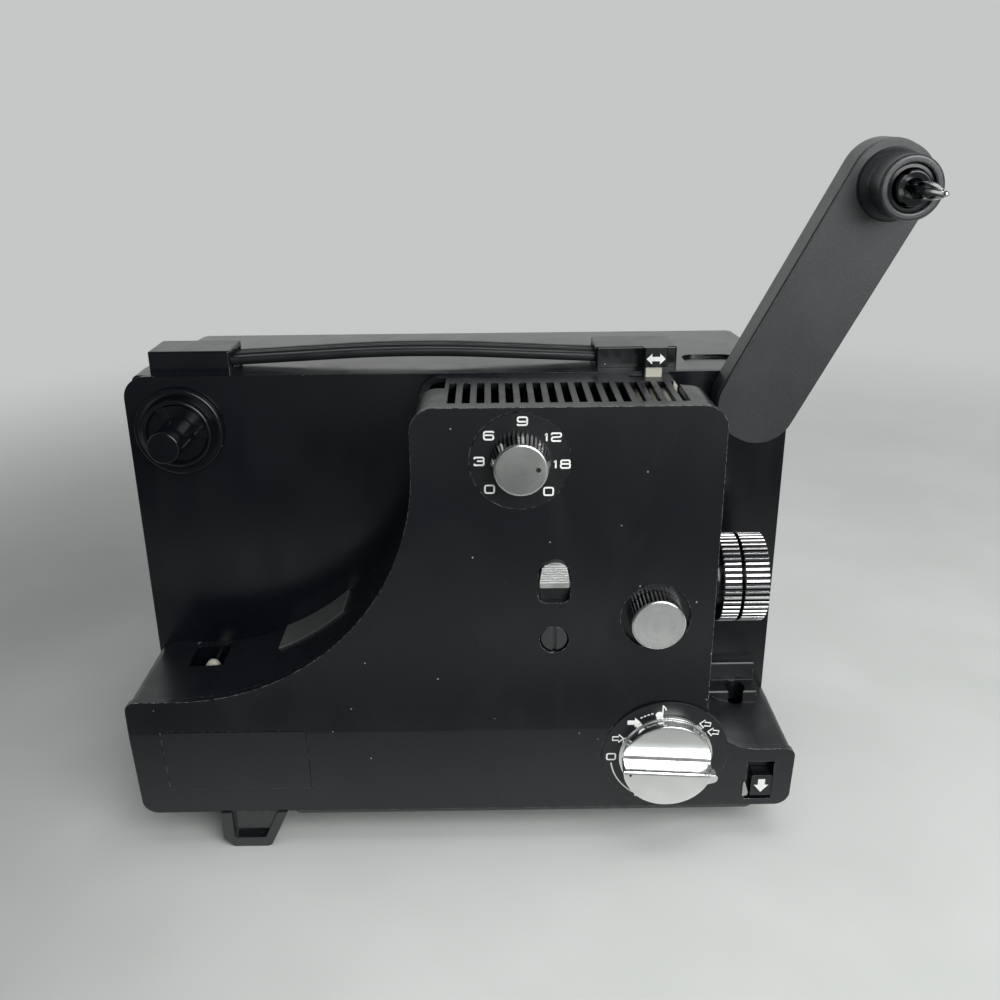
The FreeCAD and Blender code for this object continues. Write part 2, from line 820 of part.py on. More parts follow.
def build_rear_housing():
    """The moulded rear shell, open towards the plate and below."""
    body = new_body("rear_shell", HOUSING)
    plan = draw_outline(new_sketch(body, "rear_plan"), rear_plan(as_size(0)))
    pad(body, plan, S.body_height)
    top = S.body_height.value
    rim = S.film_side_depth.value + S.plate_thickness.value

    def top_edge(edge):
        return edge.BoundBox.ZMin > top - 0.01 and edge.BoundBox.YMax > rim + 0.01

    dress(body, "Fillet", S.rear_edge_round, top_edge)
    inside = draw_outline(new_sketch(body, "rear_inside", "XY_Plane", -MARGIN),
                          rear_plan(S.wall, open_front=True))
    pocket(body, inside, S.body_height - S.wall + MARGIN, back=True)
    bosses = draw_circles(new_sketch(body, "rear_bosses", "XZ_Plane", -S.pillar_end),
                          [(x, z, as_size(5.5)) for x, z in pillar_places()])
    pad(body, bosses, S.body_depth - S.wall - S.pillar_end, back=True)
    sinks = draw_circles(new_sketch(body, "screw_sinks", "XZ_Plane", -(S.body_depth + 1)),
                         [(x, z, as_size(3.6)) for x, z in pillar_places()])
    pocket(body, sinks, as_size(4.0), back=True)
    bores = draw_circles(new_sketch(body, "screw_bores", "XZ_Plane", -(S.body_depth + 1)),
                         [(x, z, SCREW_RADIUS + 0.3) for x, z in pillar_places()])
    pocket(body, bores, S.body_depth + 1 - S.pillar_end, back=True)
    slot = draw_outline(new_sketch(body, "rear_slot", "XZ_Plane", -(S.body_depth + 1)),
                        rectangle(S.mirror_x - 5.5 * S.rear_slot_pitch, S.beam_height + 12,
                                  S.rear_slot_width, S.rear_slot_height, 1.4))
    slot = pocket(body, slot, S.wall + 3, back=True)
    linear(body, slot, S.rear_slot_pitch, S.rear_slot_count)
    inlet = draw_outline(new_sketch(body, "inlet_hole", "XZ_Plane", -(S.body_depth + 1)),
                         rectangle(S.rear_left_inset + 32, as_size(28), INLET_WIDTH + 0.2, INLET_HEIGHT + 0.2, 3))
    pocket(body, inlet, S.wall + 3, back=True)
    recess = draw_outline(new_sketch(body, "top_recess", "XY_Plane", S.body_height + 1),
                          rectangle(S.handle_right + 16, S.film_side_depth + 16, as_size(22), as_size(24), 5))
    pocket(body, recess, as_size(2.2))
    keep(body, "rear_housing")


def build_base():
    """The bottom tray, the moulded feet at the left and the screw foot at the right."""
    body = new_body("tray", at(0, 0, -S.tray_drop))
    plan = draw_outline(new_sketch(body, "tray_plan"), rectangle(
        (S.tray_left + S.tray_right) / 2, S.body_depth / 2, S.tray_right - S.tray_left,
        S.body_depth - 2 * S.tray_inset, 5))
    pad(body, plan, S.tray_drop)
    floor = draw_outline(new_sketch(body, "tray_floor", "XY_Plane", S.tray_drop), rear_plan(S.wall + 0.4))
    pad(body, floor, S.tray_floor)
    slot = draw_outline(new_sketch(body, "tray_slot", "XY_Plane", S.tray_drop + MARGIN),
                        rectangle(S.mirror_x - 30, S.lamp_front + 20, as_size(3), as_size(34), 1.4))
    slot = pocket(body, slot, as_size(2 * MARGIN))
    linear(body, slot, as_size(7), as_size(9))
    hole = draw_circles(new_sketch(body, "foot_hole", "XY_Plane", S.tray_drop + MARGIN),
                        [(S.screw_foot_x, S.body_depth / 2, WHEEL_HUB + S.running_clearance)])
    pocket(body, hole, as_size(2 * MARGIN))
    keep(body, "base_tray")
    feet = [moulded_foot("front_foot", as_size(3)),
            moulded_foot("rear_foot", S.body_depth - 10 - S.foot_depth)]
    keep(group("moulded_feet", feet), "moulded_feet")
    build_screw_foot()


def moulded_foot(name, y):
    """A foot with one slanted side, a bevelled corner and a sunk front."""
    height = S.foot_height
    half = S.foot_top_width / 2
    body = new_body(name, at(S.foot_x, y, 0))
    outline = draw_outline(new_sketch(body, name + "_outline", "XZ_Plane"), [
        (-half, as_size(0)),
        (-half, -height + 4.0, 1.0),
        (-half + 4.0, -height, 1.0),
        (half - 8.0, -height, 3.0),
        (half, as_size(0)),
    ])
    pad(body, outline, S.foot_depth, back=True)
    sunk = draw_outline(new_sketch(body, name + "_sunk", "XZ_Plane"), [
        (-half + 4.5, as_size(0)),
        (-half + 4.5, -height + 4.5, 0.8),
        (half - 10.0, -height + 4.5, 0.8),
        (half - 4.0, as_size(0)),
    ])
    pocket(body, sunk, as_size(3.0))
    return body


def build_screw_foot():
    """A captive wheel that screws a padded stem down to tilt the beam."""
    wheel_bottom = -S.tray_drop - 6.4
    where = at(S.screw_foot_x, S.body_depth / 2, wheel_bottom)
    body = new_body("wheel", where)
    tray_top = S.tray_drop + S.tray_floor + 6.4
    revolve(body, "wheel", [
        (STEM_RADIUS + S.running_clearance, as_size(0)),
        (as_size(12.0), as_size(0), 0.8),
        (as_size(12.0), as_size(5.8), 0.8),
        (WHEEL_HUB, as_size(5.8)),
        (WHEEL_HUB, tray_top + 0.4),
        (WHEEL_HUB + 2.5, tray_top + 0.4),
        (WHEEL_HUB + 2.5, tray_top + 2.4),
        (STEM_RADIUS + S.running_clearance, tray_top + 2.4),
    ])
    flute = draw_circles(new_sketch(body, "wheel_flute"), [(as_size(12.6), as_size(0), as_size(1.2))])
    flute = pocket(body, flute, as_size(5.8), back=True)
    polar(body, flute, as_size(24))
    keep(body, "foot_wheel")
    stem = new_body("stem", at(S.screw_foot_x, S.body_depth / 2, -S.foot_height))
    revolve(stem, "stem", [
        (as_size(0), as_size(0)),
        (S.screw_foot_radius, as_size(0), 1.0),
        (S.screw_foot_radius, as_size(4.0), 1.0),
        (as_size(7.0), as_size(6.0)),
        (STEM_RADIUS, as_size(7.0)),
        (STEM_RADIUS, S.foot_height + 12),
        (as_size(0), S.foot_height + 12),
    ])
    keep(stem, "screw_foot")


def handle_cap(name, x, mouth):
    """One end cap, with the slot that the strap runs into."""
    body = new_body(name, at(0, S.handle_front, S.body_height))
    plan = draw_outline(new_sketch(body, name + "_plan"), rectangle(
        x + S.cap_length / 2, S.handle_depth / 2, S.cap_length, S.handle_depth, 1.0))
    pad(body, plan, S.cap_height)

    def top_edge(edge):
        return edge.BoundBox.ZMin > S.cap_height.value - 0.01

    dress(body, "Fillet", as_size(0.7), top_edge)
    slot = draw_outline(new_sketch(body, name + "_slot", "XY_Plane", STRAP_END),
                        rectangle(mouth, S.handle_depth / 2, as_size(26), S.strap_width + 0.6))
    pocket(body, slot, S.strap_thickness + 1.1, back=True)
    return body


def build_handle():
    """Two end caps and the bowed strap between them."""
    inner = S.handle_right - S.cap_length
    caps = [handle_cap("left_cap", S.handle_left, S.handle_left + S.cap_length),
            handle_cap("right_cap", inner, inner)]
    keep(group("handle_caps", caps), "handle_caps")
    body = new_body("strap", at(0, S.handle_front + (S.handle_depth - S.strap_width) / 2, S.body_height))
    left = S.handle_left + S.cap_length - 12
    right = inner + 12
    middle = (left + right) / 2
    top = STRAP_END + S.strap_thickness
    side = draw_outline(new_sketch(body, "strap_side", "XZ_Plane"), [
        (left, STRAP_END),
        (middle, STRAP_END + S.strap_lift, STRAP_BEND),
        (right, STRAP_END),
        (right, top),
        (middle, top + S.strap_lift, STRAP_BEND + S.strap_thickness),
        (left, top),
    ])
    pad(body, side, S.strap_width, back=True)
    for i, y in enumerate((as_size(3.4), S.strap_width - 5.4)):
        groove = draw_outline(new_sketch(body, "strap_groove_%d" % i, "XZ_Plane", -y), [
            (left, top - 0.8),
            (middle, top - 0.8 + S.strap_lift, STRAP_BEND + S.strap_thickness),
            (right, top - 0.8),
            (right, top + MARGIN),
            (left, top + MARGIN),
        ])
        pocket(body, groove, as_size(2.0))
    keep(body, "carry_strap")


def build_lens():
    """The sleeve on the plate, the barrel that slides in it, its glass and its two rings."""
    inner = S.barrel_radius + S.sliding_clearance
    outer = inner + S.holder_wall
    start = S.barrel_start + 2
    sleeve = rod("sleeve", at(start, S.beam_depth, S.beam_height), ALONG_BEAM, outer, S.holder_length)
    arm = box("sleeve_arm", at(start, S.beam_depth, S.beam_height - 6), S.holder_length,
              S.film_side_depth - S.beam_depth, as_size(12))
    bore = rod("sleeve_bore", at(start - 1, S.beam_depth, S.beam_height), ALONG_BEAM, inner,
               S.holder_length + 2)
    window = box("sleeve_window", at(S.focus_x - 6, as_size(0), S.focus_z - 6), as_size(12),
                 PINION_BACK + 0.8, as_size(12))
    keep(cut("lens_holder", fuse("lens_holder", [sleeve, arm]), [bore, window]), "lens_holder")

    barrel_length = S.focus_ring_start + S.focus_ring_width - S.barrel_start - 1.2
    shoulder = S.barrel_shoulder - S.barrel_start
    step = S.focus_ring_start - S.barrel_start - 0.6
    bore_radius = S.barrel_radius - 2.4
    body = new_body("barrel", at(S.barrel_start, S.beam_depth, S.beam_height), ALONG_BEAM)
    revolve(body, "barrel", [
        (bore_radius, as_size(0)),
        (S.barrel_radius, as_size(0), 0.4),
        (S.barrel_radius, shoulder),
        (S.ring_seat_radius, shoulder),
        (S.ring_seat_radius, barrel_length),
        (bore_radius + 1.8, barrel_length),
        (bore_radius + 0.6, barrel_length - 6),
        (bore_radius, barrel_length - 6),
    ])
    keep(body, "lens_barrel")
    glass = []
    for name, where, bulge in (("rear_glass", as_size(1.5), 1), ("front_glass", barrel_length - 10, 1)):
        item = new_body(name, at(S.barrel_start + where, S.beam_depth, S.beam_height), ALONG_BEAM)
        edge = bore_radius - 0.02
        revolve(item, name, [
            (as_size(0), as_size(-0.9)),
            (edge * 0.55, as_size(-0.55)),
            (edge, as_size(0.6)),
            (edge, as_size(2.4)),
            (edge * 0.55, as_size(3.55)),
            (as_size(0), as_size(3.9)),
        ])
        glass.append(item)
    keep(group("lens_glass", glass), "lens_glass")
    seat = S.ring_seat_radius + S.running_clearance
    for name, start, width in (("zoom_ring", S.zoom_ring_start, S.zoom_ring_width),
                               ("focus_ring", S.focus_ring_start, S.focus_ring_width)):
        body = new_body(name, at(start, S.beam_depth, S.beam_height), ALONG_BEAM)
        revolve(body, name, [
            (seat, as_size(0)),
            (S.ring_radius, as_size(0), 0.5),
            (S.ring_radius, width, 0.5),
            (seat, width),
        ])
        flute = draw_circles(new_sketch(body, name + "_flute"),
                             [(S.ring_radius + 0.35, as_size(0), as_size(0.85))])
        flute = pocket(body, flute, width, back=True)
        polar(body, flute, S.ring_flutes)
        keep(body, name)


def scale_disc(name, where, turn, radius, hole):
    """A thin printed disc that lies in its recess under a knob."""
    body = tube_body(name + "_disc", where, turn, radius, hole, S.scale_thickness)
    keep(body, name)


def fluted_knob(name, where, turn, base_radius, face_radius, height, flutes, shaft_length):
    """A turned knob with a fluted rim and its shaft, face towards the operator."""
    body = new_body(name + "_body", where, turn)
    revolve(body, name, [
        (as_size(0), -shaft_length),
        (S.knob_shaft_radius, -shaft_length),
        (S.knob_shaft_radius, as_size(0)),
        (base_radius, as_size(0), 0.4),
        (face_radius, height, S.knob_edge),
        (as_size(0), height),
    ])
    flute = draw_circles(new_sketch(body, name + "_flute"), [(base_radius + 0.4, as_size(0), as_size(0.85))])
    flute = pocket(body, flute, height - S.knob_edge, back=True)
    polar(body, flute, as_size(flutes))
    return body


def build_controls():
    """The dials, knobs, switch, adjuster and button on the front face, and what they turn."""
    proud = S.scale_thickness - S.scale_depth
    scale_disc("speed_scale", at(S.speed_x, S.scale_depth, S.speed_z), TO_OPERATOR,
               S.speed_scale_radius, S.knob_shaft_radius + S.knob_gap)
    knob = fluted_knob("speed_knob", at(S.speed_x, -proud - S.seam, S.speed_z), TO_OPERATOR,
                       S.speed_knob_radius, S.speed_knob_radius - 1.5,
                       S.speed_knob_height - proud - S.seam, 40, SHAFT_REACH)
    keep(knob, "speed_knob")
    control = tube_body("speed_can", at(S.speed_x, SHAFT_REACH + 4.0, S.speed_z), TO_OPERATOR,
                        as_size(8.5), S.knob_shaft_radius + S.running_clearance, as_size(8.0))
    bracket = box("speed_bracket", at(S.speed_x - 5, SHAFT_REACH + 4.0, S.speed_z - 5), as_size(10),
                  S.film_side_depth - SHAFT_REACH - 4.0, as_size(10))
    keep(fuse("speed_control", [control, bracket]), "speed_control")

    focus = new_body("focus_knob_body", at(S.focus_x, S.panel_thickness - 1.2 - S.seam, S.focus_z), TO_OPERATOR)
    height = S.focus_knob_height + S.panel_thickness - 1.2 - S.seam
    shaft_end = PINION_BACK - (S.panel_thickness - 1.2 - S.seam)
    revolve(focus, "focus_knob", [
        (as_size(0), -shaft_end),
        (PINION_RADIUS, -shaft_end),
        (PINION_RADIUS, -shaft_end + 3.5),
        (S.knob_shaft_radius, -shaft_end + 3.5),
        (S.knob_shaft_radius, as_size(0)),
        (S.focus_knob_radius, as_size(0), 0.4),
        (S.focus_knob_radius, height, S.knob_edge),
        (as_size(0), height),
    ])
    flute = draw_circles(new_sketch(focus, "focus_flute"), [(S.focus_knob_radius + 0.35, as_size(0), as_size(0.8))])
    flute = pocket(focus, flute, height - S.knob_edge, back=True)
    polar(focus, flute, as_size(40))
    keep(focus, "focus_knob")

    scale_disc("selector_scale", on_lean(S.selector_x, S.selector_z, -S.scale_depth), lean_turn(),
               S.selector_scale_radius, S.knob_shaft_radius + S.knob_gap)
    build_selector_knob(proud + S.seam)
    build_switch_and_button()


def build_selector_knob(gap):
    """The main dial: its lower half stands up as a grip, with a pointer tip at the right end."""
    body = new_body("selector_body", on_lean(S.selector_x, S.selector_z, gap), lean_turn())
    low = S.selector_knob_height - gap
    high = low + S.selector_grip_height
    reach = S.selector_knob_radius + MARGIN
    revolve(body, "selector", [
        (as_size(0), as_size(-23)),
        (S.knob_shaft_radius, as_size(-23)),
        (S.knob_shaft_radius, as_size(0)),
        (S.selector_knob_radius + 1.0, as_size(0), 0.3),
        (S.selector_knob_radius + 0.8, as_size(1.4), 0.3),
        (S.selector_knob_radius, as_size(1.6)),
        (S.selector_knob_radius, high, S.knob_edge),
        (as_size(0), high),
    ])
    side = draw_outline(new_sketch(body, "selector_step", "YZ_Plane"), [
        (as_size(-1.9), high + MARGIN),
        (as_size(-1.9), high, 0.7),
        (as_size(-0.4), low - 1.2, 3.2),
        (as_size(1.4), low - 1.7, 0.4),
        (as_size(9.0), low, 1.0),
        (reach, low),
        (reach, high + MARGIN),
    ])
    turn = FreeCAD.Rotation(FreeCAD.Vector(0, 1, 0), S.selector_tilt.value)
    side.AttachmentOffset = FreeCAD.Placement(FreeCAD.Vector(), turn)
    bind(side, "AttachmentOffset.Rotation.Angle", S.selector_tilt)
    pocket(body, side)
    tip = draw_outline(new_sketch(body, "selector_tip", "XY_Plane", high - S.selector_grip_height), [
        (as_size(13.0), as_size(-8.4)),
        (S.selector_knob_radius + 1.6, as_size(-6.6), 1.5),
        (S.selector_knob_radius + 2.0, as_size(-3.4), 1.5),
        (as_size(13.0), as_size(-3.0)),
    ])
    pad(body, tip, S.selector_grip_height - 0.1)
    keep(body, "selector_knob")
    can = rod("selector_can", on_lean(S.selector_x, S.selector_z, as_size(-24)), lean_turn(), as_size(15), as_size(10))
    hole = rod("selector_can_hole", on_lean(S.selector_x, S.selector_z, as_size(-26)), lean_turn(),
               S.knob_shaft_radius + S.running_clearance, as_size(14))
    start = lean(S.selector_z) + 22.5
    bracket = box("selector_bracket", at(S.selector_x - 8, start, S.selector_z - 4),
                  as_size(16), S.film_side_depth - start, as_size(8))
    keep(cut("selector_switch", fuse("selector_switch", [can, bracket]), [hole]), "selector_switch")


def build_switch_and_button():
    """The film format switch, the slotted adjuster, the arrow button and the label plate."""
    width = S.switch_width - 1.0
    thumb_height = S.switch_opening - S.switch_travel - 0.5 - S.switch_end_gap
    top = S.switch_z + S.switch_opening / 2 - 0.5
    back = S.panel_thickness + 1.3
    thumb = new_body("thumb", at(S.switch_x, back, top - thumb_height / 2))
    arch = width / 2 - 0.4
    outline = draw_outline(new_sketch(thumb, "thumb_outline", "XZ_Plane"),
                           arched(0, 0, width, thumb_height, 0.6, arch))
    pad(thumb, outline, back + 1.4)
    rib = draw_outline(new_sketch(thumb, "thumb_rib", "XZ_Plane", back + 1.4),
                       rectangle(0, 2.3 - thumb_height / 2, width + 2, S.rib_pitch / 2))
    rib = pocket(thumb, rib, S.rib_pitch / 2)
    linear(thumb, rib, S.rib_pitch, S.rib_count, "Z_Axis")
    shutter = draw_outline(new_sketch(thumb, "thumb_backing", "XZ_Plane"),
                           rectangle(0, -0.3, S.switch_width + 4, S.switch_opening + S.switch_travel + 1.4))
    pad(thumb, shutter, as_size(1.0))
    keep(thumb, "format_switch")

    screw = new_body("adjuster", at(S.adjuster_x, S.panel_thickness - 0.6, S.adjuster_z), TO_OPERATOR)
    revolve(screw, "adjuster", [
        (as_size(0), as_size(-20)),
        (S.adjuster_stem, as_size(-20)),
        (S.adjuster_stem, as_size(-1)),
        (S.adjuster_radius, as_size(-1)),
        (S.adjuster_radius, as_size(1.6), 0.4),
        (as_size(0), as_size(1.6)),
    ])
    slot = draw_outline(new_sketch(screw, "adjuster_slot", "XY_Plane", as_size(1.6)),
                        rectangle(0, 0, as_size(1.7), 2 * S.adjuster_radius + 1))
    pocket(screw, slot, as_size(1.5))
    keep(screw, "adjuster_screw")

    button = new_body("button", on_lean(S.button_x, S.button_z, as_size(-5.0)), lean_turn())
    face = draw_outline(new_sketch(button, "button_face"),
                        rectangle(0, 0, S.button_width, S.button_height, 0.6))
    pad(button, face, as_size(5.6))
    flange = draw_outline(new_sketch(button, "button_flange"),
                          rectangle(-1.0, 0, S.button_width + 8.0, S.button_height - 1.0, 1.0))
    pad(button, flange, as_size(1.2))
    keep(button, "arrow_button")

    plate = lean_box("label_plate_body", S.label_x, S.label_z, S.label_width, S.label_height,
                     -S.label_thickness / 2, S.label_thickness)
    keep(plate, "label_plate")


def pulley(radius, middle):
    """Profile points of a belt pulley whose groove is centred at a height."""
    return [
        (radius, middle - PULLEY_HALF),
        (radius, middle - 1.8),
        (radius - GROOVE_DEPTH, middle - 1.1),
        (radius - GROOVE_DEPTH, middle + 1.1),
        (radius, middle + 1.8),
        (radius, middle + PULLEY_HALF),
    ]


def between(x1, z1, x2, z2):
    """Distance and direction from one shaft to another, seen from the front."""
    across, up = x2 - x1, z2 - z1
    length = math.hypot(across.value, up.value)
    angle = math.degrees(math.atan2(up.value, across.value))
    return (Size(length, "sqrt(%s ^ 2 + %s ^ 2)" % (across.formula, up.formula)),
            Size(angle, "atan2(%s; %s)" % (up.formula, across.formula)))


def belt_loop(first, second, length):
    """Corners of a loop round two circles, the first at the origin, the second along X."""
    angle = math.asin((second.value - first.value) / length.value)
    rise = Size(math.degrees(angle), "asin((%s - %s) / %s)" % (second.formula, first.formula, length.formula))
    near = first / size_cos(rise) - first * size_tan(rise)
    far = second / size_cos(rise) + second * size_tan(rise)
    near_round, far_round = first - LOOP_FLAT, second - LOOP_FLAT
    return [
        (-first, -near, near_round),
        (length + second, -far, far_round),
        (length + second, far, far_round),
        (-first, near, near_round),
    ]


def belt(name, start, end, middle, first, second):
    """A belt in the grooves of two pulleys, given their shafts, plane and radii."""
    length, angle = between(*start, *end)
    body = new_body(name + "_body", at(start[0], middle + BELT_WIDTH / 2, start[1]),
                    (FreeCAD.Vector(0, -1, 0), angle))
    loop = new_sketch(body, name + "_loop", "XZ_Plane")
    outside, inside = as_size(0.1), -(GROOVE_DEPTH - 0.1)
    draw_outline(loop, belt_loop(first + outside, second + outside, length))
    draw_outline(loop, belt_loop(first + inside, second + inside, length))
    pad(body, loop, BELT_WIDTH)
    return keep(body, name)


def arm_end():
    """Where the arm's hub is, seen from the front."""
    return (S.arm_x + size_cos(S.arm_angle) * S.arm_length,
            S.arm_z + size_sin(S.arm_angle) * S.arm_length)


def hub_at(y):
    x, z = arm_end()
    return at(x, y, z)


def arm_body(name, y):
    """A body that turns with the arm: its X axis runs from the pivot to the hub."""
    return new_body(name, at(S.arm_x, y, S.arm_z), (FreeCAD.Vector(0, -1, 0), S.arm_angle))


def arm_outline(inset):
    half = S.arm_half_width - inset
    end_round = half - 0.8
    return [
        (-half, -half, end_round),
        (S.arm_length + half, -half, end_round),
        (S.arm_length + half, half, end_round),
        (-half, half, end_round),
    ]


def build_arm():
    """The folding arm: hollow frame with its pivot and hub pin, cover, collar and retainer."""
    back = S.film_side_depth - S.arm_gap
    frame_depth = S.arm_thickness - S.arm_cover
    hollow_back = back - S.arm_wall
    shell = arm_body("arm_shell", back)
    pad(shell, draw_outline(new_sketch(shell, "arm_outline", "XZ_Plane"), arm_outline(as_size(0))),
        frame_depth)
    hollow = draw_outline(new_sketch(shell, "arm_hollow", "XZ_Plane", frame_depth), arm_outline(S.arm_wall))
    pocket(shell, hollow, frame_depth - S.arm_wall)
    behind_plate = S.film_side_depth + S.plate_thickness + 0.4
    pivot = new_body("arm_pivot", at(S.arm_x, behind_plate + RETAINER, S.arm_z), TO_OPERATOR)
    revolve(pivot, "arm_pivot", [
        (as_size(0), as_size(0)),
        (PIVOT_RADIUS - 1.2, as_size(0)),
        (PIVOT_RADIUS - 1.2, RETAINER),
        (PIVOT_RADIUS - S.running_clearance, RETAINER),
        (PIVOT_RADIUS - S.running_clearance, behind_plate + RETAINER - hollow_back),
        (as_size(0), behind_plate + RETAINER - hollow_back),
    ])
    pin = rod("hub_pin", hub_at(hollow_back + 0.5), TO_OPERATOR, HUB_PIN,
              hollow_back + 0.5 - (back - S.arm_thickness) + 10)
    bore = rod("pivot_bore", at(S.arm_x, behind_plate + MARGIN, S.arm_z), TO_OPERATOR,
               S.shaft_radius + S.running_clearance, as_size(2 * MARGIN))
    keep(cut("arm_frame", fuse("arm_frame", [shell, pivot, pin]), [bore]), "arm_frame")
    retainer = tube_body("arm_retainer_ring", at(S.arm_x, behind_plate + RETAINER, S.arm_z), TO_OPERATOR,
                         PIVOT_RADIUS + 1.0, PIVOT_RADIUS - 1.2, RETAINER)
    keep(retainer, "arm_retainer")

    lid = arm_body("arm_lid", back - frame_depth)
    pad(lid, draw_outline(new_sketch(lid, "arm_lid_outline", "XZ_Plane"), arm_outline(S.seam)), S.arm_cover)
    hole = draw_circles(new_sketch(lid, "arm_lid_hole", "XZ_Plane"),
                        [(S.arm_length, as_size(0), S.spindle_radius + S.knob_gap)])
    pocket(lid, hole)
    keep(lid, "arm_cover")
    collar = new_body("collar", hub_at(back - S.arm_thickness), TO_OPERATOR)
    neck = S.collar_radius - 0.8
    revolve(collar, "collar", [
        (S.spindle_radius + S.knob_gap, as_size(0)),
        (S.collar_base_radius, as_size(0)),
        (S.collar_base_radius - 0.6, as_size(2.0), 1.0),
        (neck, as_size(5.0), 4.0),
        (neck, S.collar_length - 5, 1.0),
        (S.collar_radius, S.collar_length - 3.5, 1.0),
        (S.collar_radius, S.collar_length, 1.2),
        (S.collar_bore, S.collar_length, 0.8),
        (S.collar_bore, S.collar_length - 9),
        (S.spindle_radius + S.knob_gap, S.collar_length - 9),
    ])
    keep(collar, "hub_collar")
    build_supply_spindle(back - S.arm_thickness, hollow_back)
    build_arm_drive(hollow_back)


def lobe_cuts(body, name, start, length):
    """Three shallow flutes that leave driving lobes on a spindle."""
    flute = draw_circles(new_sketch(body, name + "_flute", "XY_Plane", start),
                         [(S.spindle_radius + 1.2, as_size(0), as_size(2.0))])
    flute = pocket(body, flute, length, back=True)
    polar(body, flute, as_size(3))


def build_supply_spindle(arm_front, hollow_back):
    """The lobed hub with its belt pulley, turning on the arm's pin, and its bright split clip.

    The clip is a little thinner inside the hub, so its bearing length is what a reel slides over.
    """
    back = hollow_back - 1.0
    front = arm_front - S.collar_length - 1.5
    length = back - front
    socket = as_size(8)
    body = new_body("supply_hub", hub_at(back), TO_OPERATOR)
    revolve(body, "supply_hub", [
        (HUB_PIN + S.running_clearance, as_size(0)),
        (S.arm_pulley_radius, as_size(0)),
        *pulley(S.arm_pulley_radius, ARM_GROOVE)[1:],
        (S.spindle_radius, ARM_GROOVE + PULLEY_HALF),
        (S.spindle_radius, length, 0.8),
        (CLIP_RADIUS, length),
        (CLIP_RADIUS, length - socket),
        (HUB_PIN + S.running_clearance, length - socket),
    ])
    lobe_cuts(body, "supply_hub", length - S.collar_length, S.collar_length)
    keep(body, "supply_spindle")
    clip = new_body("clip", hub_at(front + socket), TO_OPERATOR)
    reach = S.clip_length + socket
    revolve(clip, "clip", [
        (as_size(0), as_size(0)),
        (CLIP_RADIUS - 0.2, as_size(0)),
        (CLIP_RADIUS - 0.2, socket + 0.2),
        (CLIP_RADIUS, socket + 0.2),
        (CLIP_RADIUS, reach - 13),
        (CLIP_RADIUS - 0.8, reach - 6, 4.0),
        (as_size(1.3), reach - 3, 2.0),
        (as_size(1.2), reach, 0.6),
        (as_size(0), reach),
    ])
    slot = draw_outline(new_sketch(clip, "clip_slot", "XZ_Plane"), [
        (as_size(-0.6), socket + 1),
        (as_size(0.6), socket + 1),
        (as_size(0.6), reach - 20),
        (as_size(1.9), reach - 13, 2.0),
        (as_size(0.4), reach - 5),
        (as_size(-0.4), reach - 5),
        (as_size(-1.9), reach - 13, 2.0),
        (as_size(-0.6), reach - 20),
    ])
    pocket(clip, slot)
    keep(clip, "spindle_clip")


def build_arm_drive(hollow_back):
    """The shaft through the arm's pivot, and the belts from the main shaft and up the arm."""
    shaft_back = S.rewind_plane + 6
    pulley_back = hollow_back - 1.0
    length = shaft_back - pulley_back
    groove = as_size(6)
    body = new_body("arm_drive", at(S.arm_x, shaft_back, S.arm_z), TO_OPERATOR)
    revolve(body, "arm_drive", [
        (as_size(0), as_size(0)),
        (S.shaft_radius, as_size(0)),
        (S.shaft_radius, groove - PULLEY_HALF),
        *pulley(S.rewind_pulley_radius, groove),
        (S.shaft_radius, groove + PULLEY_HALF),
        (S.shaft_radius, length),
        *pulley(S.arm_pulley_radius, length + ARM_GROOVE),
        (as_size(0), length + ARM_GROOVE + PULLEY_HALF),
    ])
    keep(body, "arm_drive_shaft")
    pivot = (S.arm_x, S.arm_z)
    belt("arm_belt", pivot, arm_end(), pulley_back - ARM_GROOVE, S.arm_pulley_radius, S.arm_pulley_radius)
    belt("rewind_belt", (S.main_x, S.main_z), pivot, S.rewind_plane,
         S.rewind_pulley_radius, S.rewind_pulley_radius)


